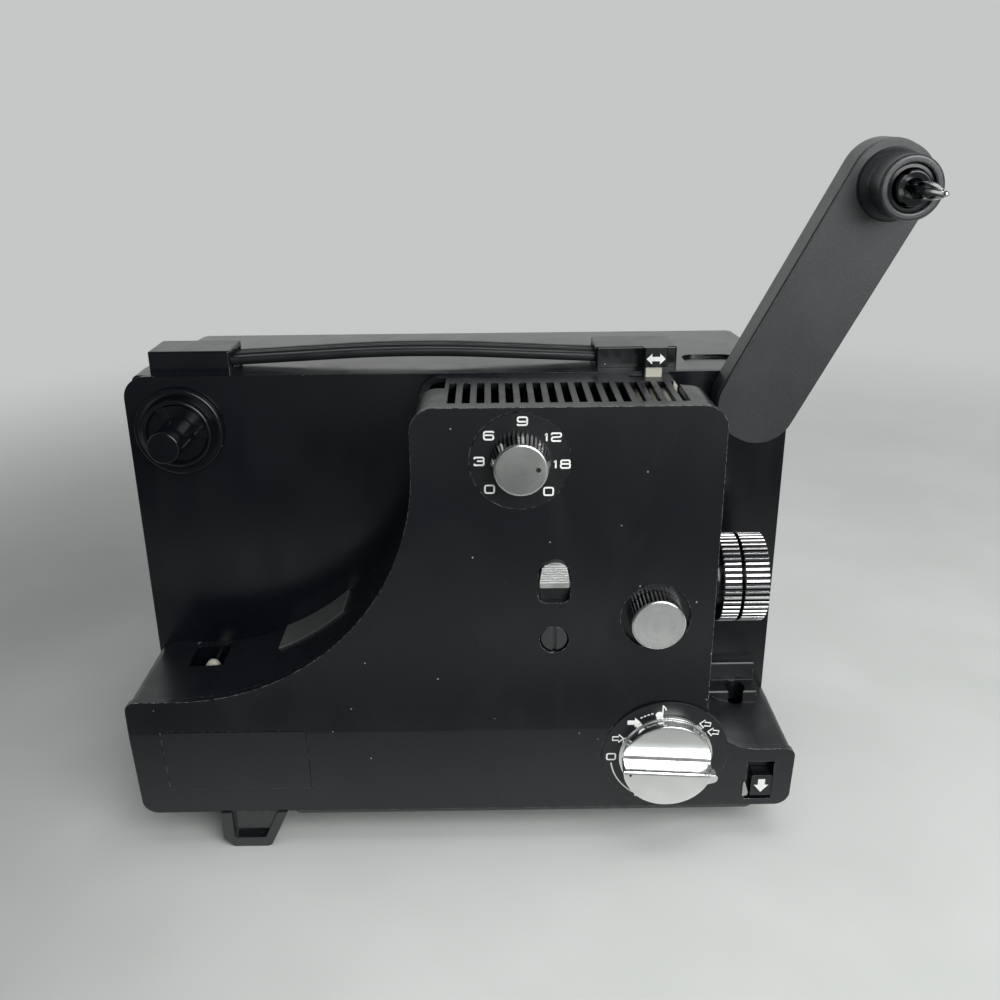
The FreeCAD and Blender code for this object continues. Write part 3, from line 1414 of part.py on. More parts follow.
def build_takeup():
    """The take-up flange and its lobed spindle, whose shaft carries a pulley behind the plate."""
    seat_back = S.film_side_depth - 0.6
    flange = new_body("flange", at(S.takeup_x, seat_back, S.takeup_z), TO_OPERATOR)
    dish = S.takeup_seat_radius - 2.4
    revolve(flange, "flange", [
        (S.shaft_radius, as_size(0)),
        (S.takeup_flange_radius, as_size(0), 0.5),
        (S.takeup_flange_radius, as_size(2.6), 0.8),
        (S.takeup_flange_radius - 1.6, as_size(2.6), 0.4),
        (S.takeup_seat_radius, as_size(2.0)),
        (S.takeup_seat_radius, as_size(5.4), 0.8),
        (S.takeup_seat_radius - 1.4, as_size(5.4), 0.5),
        (dish, as_size(3.6)),
        (S.shaft_radius, as_size(3.6)),
    ])
    spoke = draw_outline(new_sketch(flange, "flange_spoke", "XY_Plane", as_size(3.0)), [
        (S.spindle_radius + 0.6, as_size(-0.9)),
        (dish + 0.6, as_size(-1.8)),
        (dish + 0.6, as_size(1.8)),
        (S.spindle_radius + 0.6, as_size(0.9)),
    ])
    spoke = pad(flange, spoke, as_size(1.8))
    polar(flange, spoke, as_size(3))
    keep(flange, "takeup_flange")

    back = S.takeup_plane + 6
    seat = back - seat_back
    front = back - S.takeup_front
    neck = S.spindle_radius - 0.4
    groove = as_size(6)
    body = new_body("takeup", at(S.takeup_x, back, S.takeup_z), TO_OPERATOR)
    revolve(body, "takeup", [
        (as_size(0), as_size(0)),
        (S.shaft_radius, as_size(0)),
        (S.shaft_radius, groove - PULLEY_HALF),
        *pulley(S.takeup_pulley_radius, groove),
        (S.shaft_radius, groove + PULLEY_HALF),
        (S.shaft_radius, seat + 3.6),
        (neck, seat + 3.6),
        (neck, seat + 6.0),
        (S.spindle_radius, seat + 6.0),
        (S.spindle_radius, front, 0.7),
        (as_size(0), front),
    ])
    lobe_cuts(body, "takeup", seat + 6, front - seat - 9)
    keep(body, "takeup_spindle")
    belt("takeup_belt", (S.motor_x, S.motor_z), (S.takeup_x, S.takeup_z), S.takeup_plane,
         S.takeup_drive_radius, S.takeup_pulley_radius)


def spun(turn, angle):
    """A turn after a piece has first been spun about its own Z axis."""
    spin = FreeCAD.Rotation(FreeCAD.Vector(0, 0, 1), angle)
    total = FreeCAD.Rotation(*turn).multiply(spin)
    return (total.Axis, math.degrees(total.Angle))


def build_film_side_parts():
    """The rubbing strip on the reel well, the exit roller and the slider on top."""
    well = S.tower_left - S.takeup_x + S.panel_overlap
    turn = spun(TO_OPERATOR, S.strip_start.value)
    where = at(S.takeup_x, S.film_side_depth, S.takeup_z)
    outer = rod("strip_outer", where, turn, well, S.strip_width)
    inner = rod("strip_inner", where, turn, well - S.strip_thickness, S.strip_width)
    for item in (outer, inner):
        bind(item, "Angle", S.strip_angle)
    keep(cut("film_guide_strip", outer, [inner]), "film_guide_strip")

    roller = new_body("exit_roller_body",
                      at(S.exit_roller_x, S.exit_roller_front + S.exit_roller_length, S.exit_roller_z),
                      TO_OPERATOR)
    bore = S.pin_radius + S.running_clearance
    length = S.exit_roller_length
    revolve(roller, "exit_roller", [
        (bore, as_size(0)),
        (S.exit_roller_radius, as_size(0), 0.4),
        (S.exit_roller_radius, as_size(2.2)),
        (S.exit_roller_radius - 0.7, as_size(2.8)),
        (S.exit_roller_radius - 0.7, length - 2.8),
        (S.exit_roller_radius, length - 2.2),
        (S.exit_roller_radius, length, 0.4),
        (bore, length),
    ])
    keep(roller, "exit_roller")
    build_slider()


def build_slider():
    """The sliding button on top: a dark cap on a light stem with a guided foot."""
    cap = new_body("slider_cap_body", at(S.slider_x, S.slider_y, S.body_height + 3.2))
    pad(cap, draw_outline(new_sketch(cap, "slider_cap_plan"),
                          rectangle(0.6, 0, S.slider_cap_width, as_size(4.4), 0.8)), S.slider_cap_height)
    keep(cap, "slider_cap")
    stem = box("slider_neck", at(S.slider_x - S.slider_width / 2, S.slider_y - 1.6, S.body_height - 6),
               S.slider_width, as_size(3.2), as_size(9.2))
    foot = box("slider_foot", at(S.slider_x - 9, S.slider_y - 4.4, S.body_height - 10),
               as_size(18), as_size(8.4), as_size(6.4))
    keep(fuse("slider_stem", [stem, foot]), "slider_stem")


def build_motor():
    """The motor on its three posts, its shaft with two pulleys, and the fan behind."""
    back = S.motor_front + S.motor_length
    can = tube_body("motor_can", at(S.motor_x, back, S.motor_z), TO_OPERATOR,
                    S.motor_radius, S.shaft_radius + S.running_clearance, S.motor_length)
    plate_back = S.film_side_depth + S.plate_thickness
    pieces = [can]
    for i, angle in enumerate((70, 200, 300)):
        turn = as_size(angle)
        x = S.motor_x + size_cos(turn) * S.motor_post_circle
        z = S.motor_z + size_sin(turn) * S.motor_post_circle
        pieces.append(rod("motor_post_%d" % i, at(x, plate_back, z), FROM_OPERATOR, as_size(3),
                          S.motor_front - plate_back + 1))
    keep(fuse("motor", pieces), "motor")

    shaft_back = back + 11
    main = shaft_back - S.belt_plane
    second = shaft_back - S.takeup_plane
    body = new_body("motor_shaft_body", at(S.motor_x, shaft_back, S.motor_z), TO_OPERATOR)
    revolve(body, "motor_shaft", [
        (as_size(0), as_size(0)),
        (S.shaft_radius, as_size(0)),
        (S.shaft_radius, main - PULLEY_HALF),
        *pulley(S.motor_pulley_radius, main),
        (S.shaft_radius, main + PULLEY_HALF),
        (S.shaft_radius, second - PULLEY_HALF),
        *pulley(S.takeup_drive_radius, second),
        (as_size(0), second + PULLEY_HALF),
    ])
    keep(body, "motor_shaft")
    fan = new_body("fan", at(S.motor_x, shaft_back - 1, S.motor_z), TO_OPERATOR)
    rim = [(as_size(0), as_size(0), S.fan_radius), (as_size(0), as_size(0), S.shaft_radius)]
    pad(fan, draw_circles(new_sketch(fan, "fan_disc"), rim), as_size(1.2))
    blade = draw_outline(new_sketch(fan, "fan_blade", "XY_Plane", as_size(1.0)), [
        (as_size(6), as_size(-0.6)),
        (S.fan_radius - 1, as_size(3.0)),
        (S.fan_radius - 1.4, as_size(4.6)),
        (as_size(6), as_size(0.8)),
    ])
    blade = pad(fan, blade, as_size(6.4))
    polar(fan, blade, as_size(10))
    hub = draw_circles(new_sketch(fan, "fan_hub"), [(as_size(0), as_size(0), as_size(6.6)),
                                                    (as_size(0), as_size(0), S.shaft_radius)])
    pad(fan, hub, as_size(7.4))
    keep(fan, "cooling_fan")


def build_drive():
    """The main shaft with its cam, pinion and pulleys, the shutter, and the film sprocket."""
    back = S.rewind_plane + 6
    groove = as_size(6)
    main = back - S.belt_plane
    pinion = back - S.gear_plane
    shaft = new_body("main", at(S.main_x, back, S.main_z), TO_OPERATOR)
    revolve(shaft, "main", [
        (as_size(0), as_size(0)),
        (S.shaft_radius, as_size(0)),
        (S.shaft_radius, groove - PULLEY_HALF),
        *pulley(S.rewind_pulley_radius, groove),
        (S.shaft_radius, groove + PULLEY_HALF),
        (S.shaft_radius, main - PULLEY_HALF),
        *pulley(S.main_pulley_radius, main),
        (S.shaft_radius, main + PULLEY_HALF),
        (S.shaft_radius, pinion - 1.6),
        (S.pinion_radius, pinion - 1.6),
        (S.pinion_radius, pinion + 1.6),
        (S.shaft_radius, pinion + 1.6),
        (S.shaft_radius, back - S.cam_plane + 2.4),
        (as_size(0), back - S.cam_plane + 2.4),
    ])
    cam = draw_circles(new_sketch(shaft, "cam", "XY_Plane", back - S.cam_plane - 1.6),
                       [(as_size(0), S.claw_stroke / 2, S.cam_radius)])
    pad(shaft, cam, as_size(3.2))
    keep(shaft, "main_shaft")

    blades = new_body("shutter_blades", at(S.main_x, S.shutter_plane, S.main_z), TO_OPERATOR)
    disc = draw_circles(new_sketch(blades, "shutter_disc"), [
        (as_size(0), as_size(0), S.shutter_radius), (as_size(0), as_size(0), S.shaft_radius)])
    pad(blades, disc, S.shutter_thickness)
    gap = draw_outline(new_sketch(blades, "shutter_gap", "XY_Plane", S.shutter_thickness + 1), [
        (as_size(10.4), as_size(-6)),
        (S.shutter_radius + 6, as_size(-30)),
        (S.shutter_radius + 6, as_size(30)),
        (as_size(10.4), as_size(6)),
    ])
    gap = pocket(blades, gap, S.shutter_thickness + 2)
    polar(blades, gap, as_size(3))
    keep(blades, "shutter")
    build_sprocket()
    belt("drive_belt", (S.motor_x, S.motor_z), (S.main_x, S.main_z), S.belt_plane,
         S.motor_pulley_radius, S.main_pulley_radius)


def build_sprocket():
    """The toothed film drum on the shaft of its reducing gear."""
    back = S.gear_plane + 1.4
    drum = back - S.beam_depth - S.film_width / 2
    body = new_body("sprocket", at(S.sprocket_x, back, S.sprocket_z), TO_OPERATOR)
    revolve(body, "sprocket", [
        (as_size(0), as_size(0)),
        (S.gear_radius, as_size(0)),
        (S.gear_radius, as_size(2.8)),
        (as_size(7.0), as_size(2.8)),
        (as_size(7.0), as_size(3.1)),
        (S.shaft_radius, as_size(3.1)),
        (S.shaft_radius, drum - 2),
        (S.sprocket_radius + 2, drum - 2),
        (S.sprocket_radius + 2, drum),
        (S.sprocket_radius, drum),
        (S.sprocket_radius, drum + S.film_width),
        (S.sprocket_radius + 2, drum + S.film_width),
        (S.sprocket_radius + 2, drum + S.film_width + 2),
        (as_size(0), drum + S.film_width + 2),
    ])
    tooth = draw_outline(new_sketch(body, "sprocket_tooth", "XY_Plane", drum + 5.6), [
        (S.sprocket_radius - 0.6, as_size(-0.5)),
        (S.sprocket_radius + 0.9, as_size(-0.3)),
        (S.sprocket_radius + 0.9, as_size(0.3)),
        (S.sprocket_radius - 0.6, as_size(0.5)),
    ])
    tooth = pad(body, tooth, as_size(0.9))
    polar(body, tooth, as_size(12))
    keep(body, "film_sprocket")


def build_lamp():
    """The lamp in its reflector and the ceramic socket behind it."""
    neck = S.lamp_length
    bowl = new_body("reflector", at(S.mirror_x, S.lamp_front, S.beam_height), FROM_OPERATOR)
    revolve(bowl, "reflector", [
        (S.lamp_radius - 1.6, as_size(0)),
        (S.lamp_radius, as_size(0)),
        (S.lamp_radius - 1.0, as_size(5)),
        (as_size(14.5), as_size(14), 8.0),
        (as_size(6.5), neck - 7, 3.0),
        (as_size(6.5), neck),
        (as_size(4.8), neck),
        (as_size(4.8), neck - 6.4, 2.0),
        (as_size(13.2), as_size(13.6), 7.0),
        (S.lamp_radius - 2.6, as_size(5)),
    ])
    bulb = new_body("capsule", at(S.mirror_x, S.lamp_front, S.beam_height), FROM_OPERATOR)
    revolve(bulb, "capsule", [
        (as_size(0), as_size(6)),
        (as_size(1.2), as_size(6.2)),
        (as_size(4.2), as_size(8.6), 2.0),
        (as_size(4.2), neck - 10, 1.5),
        (as_size(3.4), neck - 8, 1.0),
        (as_size(3.4), neck - 1),
        (as_size(4.8), neck - 1),
        (as_size(4.8), neck + 3),
        (as_size(0), neck + 3),
    ])
    keep(group("lamp", [bowl, bulb]), "lamp")
    block = new_body("socket", at(S.mirror_x, S.lamp_front + neck + 3, S.beam_height), FROM_OPERATOR)
    pad(block, draw_outline(new_sketch(block, "socket_outline"),
                            rectangle(0, 0, as_size(17), as_size(11), 2.0)), as_size(9))
    keep(block, "lamp_socket")


def build_light_path():
    """The slanted mirror on its bracket, the gate, the pressure plate and the claw."""
    slant = S.mirror_width / 2 * size_cos(as_size(45))
    deep = S.mirror_thickness * size_cos(as_size(45))
    low = S.beam_height - S.mirror_height / 2
    x, y = S.mirror_x, S.beam_depth
    mirror = new_body("mirror_block", at(0, 0, low))
    plan = draw_outline(new_sketch(mirror, "mirror_plan"), [
        (x - slant, y + slant),
        (x - slant - deep, y + slant - deep),
        (x + slant - deep, y - slant - deep),
        (x + slant, y - slant),
    ])
    pad(mirror, plan, S.mirror_height)
    behind, leg = deep * 2, S.mirror_x - 17
    bracket = new_body("mirror_bracket", at(0, 0, low))
    plan = draw_outline(new_sketch(bracket, "mirror_bracket_plan"), [
        (x - slant - deep, y + slant - deep),
        (x + slant - deep, y - slant - deep),
        (x + slant - behind, y - slant - behind),
        (leg, y - behind * 2 + x - leg),
        (leg, S.film_side_depth),
        (leg + 3, S.film_side_depth),
        (leg + 3, y - deep * 2 + x - leg - 3),
    ])
    pad(bracket, plan, S.mirror_height)
    keep(group("mirror", [mirror, bracket]), "mirror")
    build_gate()


def build_gate():
    """The film gate with its guide pins, the plate that holds the film flat, and the claw."""
    wide = as_size(3.4)
    left = S.gate_x - wide
    gate = box("gate_slab", at(left, S.beam_depth - 8, S.beam_height - 13.4), wide,
               S.film_side_depth - S.beam_depth + 8, as_size(37.4))
    pins = [rod("gate_pin_%d" % i, at(S.gate_x - 1, S.beam_depth + 14, S.beam_height + up), ALONG_BEAM,
                S.pin_radius, as_size(4.6)) for i, up in enumerate((-10, 10))]
    tools = [
        box("aperture", at(left - 1, S.beam_depth - 2.9, S.beam_height - 2.1), wide + 2, as_size(5.8),
            as_size(4.2)),
        box("claw_slot", at(left - 1, S.beam_depth + 3.2, S.beam_height - 16), wide + 2, as_size(2.4),
            as_size(11)),
    ]
    keep(cut("gate_block", fuse("gate_block", [gate] + pins), tools), "gate_block")

    front = S.gate_x + 0.3
    slab = box("pressure_slab", at(front, S.beam_depth - 7, S.beam_height - 14), as_size(1.5),
               as_size(24), as_size(28))
    holes = [rod("pressure_hole_%d" % i, at(front - 1, S.beam_depth + 14, S.beam_height + up), ALONG_BEAM,
                 S.pin_radius + S.running_clearance, as_size(4)) for i, up in enumerate((-10, 10))]
    window = box("pressure_window", at(front - 1, S.beam_depth - 3.2, S.beam_height - 2.4), as_size(4),
                 as_size(6.4), as_size(4.8))
    tooth_slot = box("pressure_slot", at(front - 1, S.beam_depth + 3.2, S.beam_height - 13), as_size(4),
                     as_size(2.4), as_size(8))
    keep(cut("pressure_plate", slab, holes + [window, tooth_slot]), "pressure_plate")

    yoke = new_body("claw_yoke", at(S.main_x, S.cam_plane + 1.4, S.main_z), TO_OPERATOR)
    inside = S.cam_radius + S.claw_stroke / 2 + 0.3
    middle = S.claw_stroke / 2
    frame = new_sketch(yoke, "claw_frame")
    draw_outline(frame, rectangle(-1.0, middle, 2 * inside + 7.0,
                                  2 * inside + S.claw_stroke + 4.0, 1.0))
    draw_outline(frame, rectangle(0, middle, 2 * inside, 2 * inside + S.claw_stroke, 0.6))
    pad(yoke, frame, as_size(2.8))
    top = S.beam_height - 6.0
    foot = S.main_z + middle + inside + S.claw_stroke / 2 + 0.4
    rise = box("claw_rise", at(left - 4.4, S.cam_plane - 1.4, foot), as_size(2.0), as_size(2.8), top - foot)
    reach = box("claw_reach", at(left - 4.4, S.beam_depth + 3.4, top - 3), as_size(2.0),
                S.cam_plane + 1.4 - S.beam_depth - 3.4, as_size(3))
    tooth = box("claw_tooth", at(left - 4.4, S.beam_depth + 3.4, top - 2), wide + 5.0, as_size(2.0),
                as_size(1.0))
    keep(fuse("claw", [yoke, rise, reach, tooth]), "claw")


def build_electrics():
    """The mains inlet with its two pins, and the transformer for the lamp."""
    back = S.body_depth - S.wall
    x, z = S.rear_left_inset + 32, as_size(28)
    socket = new_body("inlet_body", at(x, back - 20, z), FROM_OPERATOR)
    pad(socket, draw_outline(new_sketch(socket, "inlet_outline"),
                             rectangle(0, 0, INLET_WIDTH, INLET_HEIGHT, 3)), as_size(20) + S.wall - 0.6)
    pad(socket, draw_outline(new_sketch(socket, "inlet_flange", "XY_Plane", as_size(18)),
                             rectangle(0, 0, INLET_WIDTH + 6, INLET_HEIGHT + 6, 3)), as_size(2))
    mouth = draw_outline(new_sketch(socket, "inlet_mouth", "XY_Plane", as_size(40)),
                         rectangle(0, 0, INLET_WIDTH - 5, INLET_HEIGHT - 6, 3.8))
    pocket(socket, mouth, as_size(33))
    pins = [rod("inlet_pin_%d" % i, at(x + across, back - 13, z), FROM_OPERATOR, as_size(1.2), as_size(11))
            for i, across in enumerate((-4.3, 4.3))]
    keep(group("mains_inlet", [socket] + pins), "mains_inlet")

    floor = S.tray_floor
    left, front = as_size(14), S.film_side_depth + S.plate_thickness + 4
    core = box("transformer_core", at(left, front + 8, floor), as_size(50), as_size(26), as_size(54))
    coil = box("transformer_coil", at(left + 9, front, floor + 9), as_size(32), as_size(42), as_size(36))
    keep(fuse("transformer", [core, coil]), "transformer")


def build_fasteners():
    """The bushes in the plate and the screws that hold the rear housing."""
    bushes = []
    inner = S.shaft_radius + S.running_clearance
    for name, x, z, front in (
            ("takeup_bush", S.takeup_x, S.takeup_z, S.film_side_depth - 0.3),
            ("main_bush", S.main_x, S.main_z, S.film_side_depth - 4),
            ("sprocket_bush", S.sprocket_x, S.sprocket_z, S.film_side_depth - 4)):
        back = S.film_side_depth + S.plate_thickness + 0.6
        bushes.append(tube_body(name, at(x, back, z), TO_OPERATOR, BUSH_RADIUS, inner, back - front))
    keep(group("shaft_bushes", bushes), "shaft_bushes")
    screws = []
    for i, (x, z) in enumerate(pillar_places()):
        body = new_body("screw_%d" % i, at(x, S.body_depth - 0.6, z), TO_OPERATOR)
        revolve(body, "screw_%d" % i, [
            (as_size(0), as_size(0)),
            (as_size(3.0), as_size(0), 0.6),
            (as_size(3.0), as_size(2.4)),
            (SCREW_RADIUS, as_size(2.4)),
            (SCREW_RADIUS, as_size(17)),
            (as_size(0), as_size(17)),
        ])
        for turn in (0, 1):
            wide, high = ((4.0, 0.9), (0.9, 4.0))[turn]
            cross = draw_outline(new_sketch(body, "screw_%d_cross_%d" % (i, turn)),
                                 rectangle(0, 0, as_size(wide), as_size(high)))
            pocket(body, cross, as_size(1.2), back=True)
        screws.append(body)
    keep(group("housing_screws", screws), "housing_screws")


def check_and_export():
    """Stops on any broken piece, then writes one file for each node."""
    document.recompute()
    for item in document.Objects:
        if {"Invalid", "Error"} & set(item.State):
            raise RuntimeError("broken piece: " + item.Name)
    for name, item in nodes.items():
        if item.Shape.isNull() or not item.Shape.isValid():
            raise RuntimeError("bad shape: " + name)
    os.makedirs("parts", exist_ok=True)
    for name, item in nodes.items():
        item.Shape.exportStep("parts/" + name + ".step")
    print(len(nodes), "nodes written")


build_front_cover()
build_film_side_housing()
build_mechanism_plate()
build_rear_housing()
build_base()
build_handle()
build_lens()
build_controls()
build_arm()
build_takeup()
build_film_side_parts()
build_motor()
build_drive()
build_lamp()
build_light_path()
build_electrics()
build_fasteners()
check_and_export()
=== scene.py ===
# %% [markdown]
# A table-top film projector
#
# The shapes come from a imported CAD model, and this file gives them their looks.
# A CAD model knows sizes and joints, but nothing about paint, wear or light, so
# Blender does that part. The frame is loaded first, because each piece made
# here is tied to one of its moving bodies.

# %% Load the frame
import math

import bpy
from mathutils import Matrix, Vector


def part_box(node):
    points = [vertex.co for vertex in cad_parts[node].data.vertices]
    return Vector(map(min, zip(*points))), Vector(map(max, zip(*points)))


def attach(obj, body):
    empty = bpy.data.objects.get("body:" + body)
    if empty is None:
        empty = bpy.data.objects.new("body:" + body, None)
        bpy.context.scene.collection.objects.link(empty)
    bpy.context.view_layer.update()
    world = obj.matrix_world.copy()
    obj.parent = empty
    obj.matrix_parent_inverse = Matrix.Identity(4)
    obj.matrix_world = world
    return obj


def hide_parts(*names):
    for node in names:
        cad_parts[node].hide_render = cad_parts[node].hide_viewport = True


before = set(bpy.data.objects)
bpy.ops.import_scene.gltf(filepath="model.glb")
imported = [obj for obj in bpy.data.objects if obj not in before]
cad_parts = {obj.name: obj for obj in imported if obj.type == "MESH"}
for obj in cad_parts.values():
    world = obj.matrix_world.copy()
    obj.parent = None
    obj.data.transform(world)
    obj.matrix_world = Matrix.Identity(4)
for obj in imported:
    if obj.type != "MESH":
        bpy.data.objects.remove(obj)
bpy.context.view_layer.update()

# %% [markdown]
# Places on the projector
#
# Every size below was measured from the housing's left end, its front face and
# its bottom edge, in millimetres, as a maker would from a drawing. The lower
# part of the face leans back by 5.2 degrees. Two small helpers turn such places
# into the frame's metres, so the rest of the file can use the drawing's numbers.

# %% Places from the drawing
LEAN = math.radians(5.2)
FACE_RIGHT = Vector((1, 0, 0))
FACE_UP = Vector((0, -math.sin(LEAN), math.cos(LEAN)))
FACE_OUT = Vector((0, -math.cos(LEAN), -math.sin(LEAN)))


def drawing_place(x, y, z):
    return Vector((x - 226, y - 64, z + 17)) / 1000


def leaning_place(x, z):
    """A point on the leaning part of the face, at a height on the drawing."""
    return drawing_place(x, (40 - z) * math.tan(LEAN), z)


SELECTOR = leaning_place(212.4, 27.4)
print("selector centre", [round(v, 4) for v in SELECTOR])

# %% [markdown]
# The camera
#
# The camera stands where the photographer stood: about 34 cm in front, a little
# left of the middle and above, looking down by 21 degrees. It could be placed by
# eye, but the angle, distance and lens were worked out from edges whose real
# lengths are known, so the picture and the model line up.

# %% Camera
CAMERA_PLACE = Vector((-0.081534, -0.407052, 0.287049))
SENSOR_WIDTH, LENS_LENGTH, NEAREST = 36, 36.724, 0.01
yaw, pitch, roll = 0.00798876, 0.36869199, -0.00917928
forward = Vector((math.sin(yaw) * math.cos(pitch), math.cos(yaw) * math.cos(pitch), -math.sin(pitch)))
level = Vector((math.cos(yaw), -math.sin(yaw), 0))
above = level.cross(forward)
right = level * math.cos(roll) + above * math.sin(roll)
upward = above * math.cos(roll) - level * math.sin(roll)

camera_data = bpy.data.cameras.new("photo_camera")
camera_data.sensor_width = SENSOR_WIDTH
camera_data.lens = LENS_LENGTH
camera_data.clip_start = NEAREST
camera = bpy.data.objects.new("photo_camera", camera_data)
bpy.context.scene.collection.objects.link(camera)
for column, axis in enumerate((right, upward, -forward, CAMERA_PLACE)):
    for row in range(3):
        camera.matrix_world[row][column] = axis[row]
bpy.context.scene.camera = camera
print("camera looks down by", round(math.degrees(pitch), 1), "degrees")

# %% [markdown]
# Small tools for node trees
#
# A material in Blender is a tree of nodes. Adding and linking nodes takes many
# similar lines, so a few short helpers do it. They only save typing: each finish
# below still says which nodes it is made of. Two of them answer the questions
# that come up most, where a point lies on its own piece, and how a texture is
# scaled when the size of its hills is given in millimetres.

# %% Node helpers
def add(tree, kind, **settings):
    node = tree.nodes.new("ShaderNode" + kind)
    for name, value in settings.items():
        setattr(node, name, value)
    return node


def feed(tree, target, value):
    """Links a socket to an input, or sets the input when the value is a plain number."""
    if isinstance(value, bpy.types.NodeSocket):
        tree.links.new(value, target)
    else:
        target.default_value = value


def calc(tree, operation, *values, limit=False):
    node = add(tree, "Math", operation=operation, use_clamp=limit)
    for target, value in zip(node.inputs, values):
        feed(tree, target, value)
    return node.outputs[0]


def vector_calc(tree, operation, *values):
    node = add(tree, "VectorMath", operation=operation)
    for target, value in zip(node.inputs, values):
        feed(tree, target, value)
    return node.outputs["Value" if operation in ("LENGTH", "DOT_PRODUCT") else "Vector"]


def own_place(tree):
    """A point's place in its piece's own coordinates, so that finishes move with the piece."""
    return add(tree, "TexCoord").outputs["Object"]


def per_metre(tree, millimetres):
    """The texture scale that gives hills of this size."""
    return calc(tree, "DIVIDE", 1000.0, millimetres)


def noise(tree, scale, detail, **settings):
    """A noise texture. Its place is linked by the caller."""
    texture = add(tree, "TexNoise", **settings)
    texture.inputs["Detail"].default_value = detail
    feed(tree, texture.inputs["Scale"], scale)
    return texture


def mixed_colour(tree, share, first, second):
    node = add(tree, "Mix", data_type="RGBA")
    for target, value in zip((node.inputs[0], node.inputs[6], node.inputs[7]), (share, first, second)):
        feed(tree, target, (*value, 1) if isinstance(value, tuple) and len(value) == 3 else value)
    return node.outputs[2]


def stepped(tree, value, low, high, start=0.0, end=1.0):
    """Takes a value from one range to another and holds it at the ends."""
    node = add(tree, "MapRange", interpolation_type="SMOOTHSTEP")
    for target, item in zip(node.inputs, (value, low, high, start, end)):
        feed(tree, target, item)
    return node.outputs[0]


def new_group(name, inputs, outputs):
    """A node group with named sockets. Inputs give their kind and first value."""
    tree = bpy.data.node_groups.new(name, "ShaderNodeTree")
    for label, kind, value in inputs:
        socket = tree.interface.new_socket(label, in_out="INPUT", socket_type="NodeSocket" + kind)
        socket.default_value = value
    for label, kind in outputs:
        tree.interface.new_socket(label, in_out="OUTPUT", socket_type="NodeSocket" + kind)
    return tree, tree.nodes.new("NodeGroupInput").outputs, tree.nodes.new("NodeGroupOutput").inputs


def use_group(tree, group, **values):
    node = add(tree, "Group", node_tree=group)
    for name, value in values.items():
        feed(tree, node.inputs[name.replace("_", " ")], value)
    return node.outputs


print("node helpers ready")

# %% [markdown]
# Grain
#
# Paint and moulded plastic are never quite smooth. Paint dries in a fine
# orange-peel skin, and a mould is etched so that plastic looks dull. Both are
# small hills at one size, over faint clouds at a much larger size. Two noise
# textures give that, and a group lets each finish choose the sizes in
# millimetres.

# %% Group: surface grain
CLOUD_RANGE = (0.3, 0.7)
grain_group, inlet, outlet = new_group(
    "Surface grain",
    [("Grain Size", "Float", 0.4), ("Cloud Size", "Float", 40.0)],
    [("Height", "Float"), ("Cloud", "Float")])
where = own_place(grain_group)
fine = noise(grain_group, per_metre(grain_group, inlet["Grain Size"]), 2.0)
cloud = noise(grain_group, per_metre(grain_group, inlet["Cloud Size"]), 3.0)
for texture in (fine, cloud):
    feed(grain_group, texture.inputs["Vector"], where)
feed(grain_group, outlet["Height"], fine.outputs[0])
feed(grain_group, outlet["Cloud"], stepped(grain_group, cloud.outputs[0], *CLOUD_RANGE))
print("made", grain_group.name)

# %% [markdown]
# Worn edges
#
# Hands, tables and cases rub a projector where it sticks out, so paint thins on
# its edges first. The Bevel node looks at the surface nearby and turns the
# normal at an edge. Where that normal differs from the true one there is an
# edge, and noise breaks the rubbed line into chips. The same bent normal rounds
# each edge a little, which is what makes it catch the light.

# %% Group: worn edges
EDGE_BEND, CHIP_LEVEL = (0.02, 0.12), (0.72, 0.86)
worn_group, inlet, outlet = new_group(
    "Worn edges",
    [("Edge Width", "Float", 0.3), ("Wear", "Float", 0.3), ("Chip Size", "Float", 2.0)],
    [("Mask", "Float"), ("Normal", "Vector")])
bevel = add(worn_group, "Bevel", samples=4)
feed(worn_group, bevel.inputs["Radius"], calc(worn_group, "DIVIDE", inlet["Edge Width"], 1000.0))
straight = add(worn_group, "NewGeometry").outputs["Normal"]
bend = calc(worn_group, "SUBTRACT", 1.0, vector_calc(worn_group, "DOT_PRODUCT", bevel.outputs[0], straight))
chips = noise(worn_group, per_metre(worn_group, inlet["Chip Size"]), 4.0)
feed(worn_group, chips.inputs["Vector"], own_place(worn_group))
near_edge = stepped(worn_group, bend, *EDGE_BEND)
bare = stepped(worn_group, calc(worn_group, "ADD", chips.outputs[0], inlet["Wear"]), *CHIP_LEVEL)
feed(worn_group, outlet["Mask"], calc(worn_group, "MULTIPLY", near_edge, bare))
feed(worn_group, outlet["Normal"], bevel.outputs[0])
print("made", worn_group.name)

# %% [markdown]
# Dust
#
# A dark projector shows each grain of dust. Specks lie far apart, and they differ
# in size. A Voronoi texture scatters one point in each cell, the cell's random
# colour says whether that point holds a speck and how large it is, and the
# distance to the point draws it.

# %% Group: dust specks
dust_group, inlet, outlet = new_group(
    "Dust specks",
    [("Spacing", "Float", 9.0), ("Speck Size", "Float", 0.5), ("Share", "Float", 0.3)],
    [("Mask", "Float")])
cells = add(dust_group, "TexVoronoi")
feed(dust_group, cells.inputs["Vector"], own_place(dust_group))
feed(dust_group, cells.inputs["Scale"], per_metre(dust_group, inlet["Spacing"]))
chance = add(dust_group, "SeparateColor")
feed(dust_group, chance.inputs[0], cells.outputs["Color"])
reach = calc(dust_group, "MULTIPLY", cells.outputs["Distance"], inlet["Spacing"])
size = calc(dust_group, "MULTIPLY", inlet["Speck Size"], chance.outputs[1])
inside = calc(dust_group, "LESS_THAN", reach, size)
kept = calc(dust_group, "LESS_THAN", chance.outputs[0], inlet["Share"])
feed(dust_group, outlet["Mask"], calc(dust_group, "MULTIPLY", inside, kept))
print("made", dust_group.name)

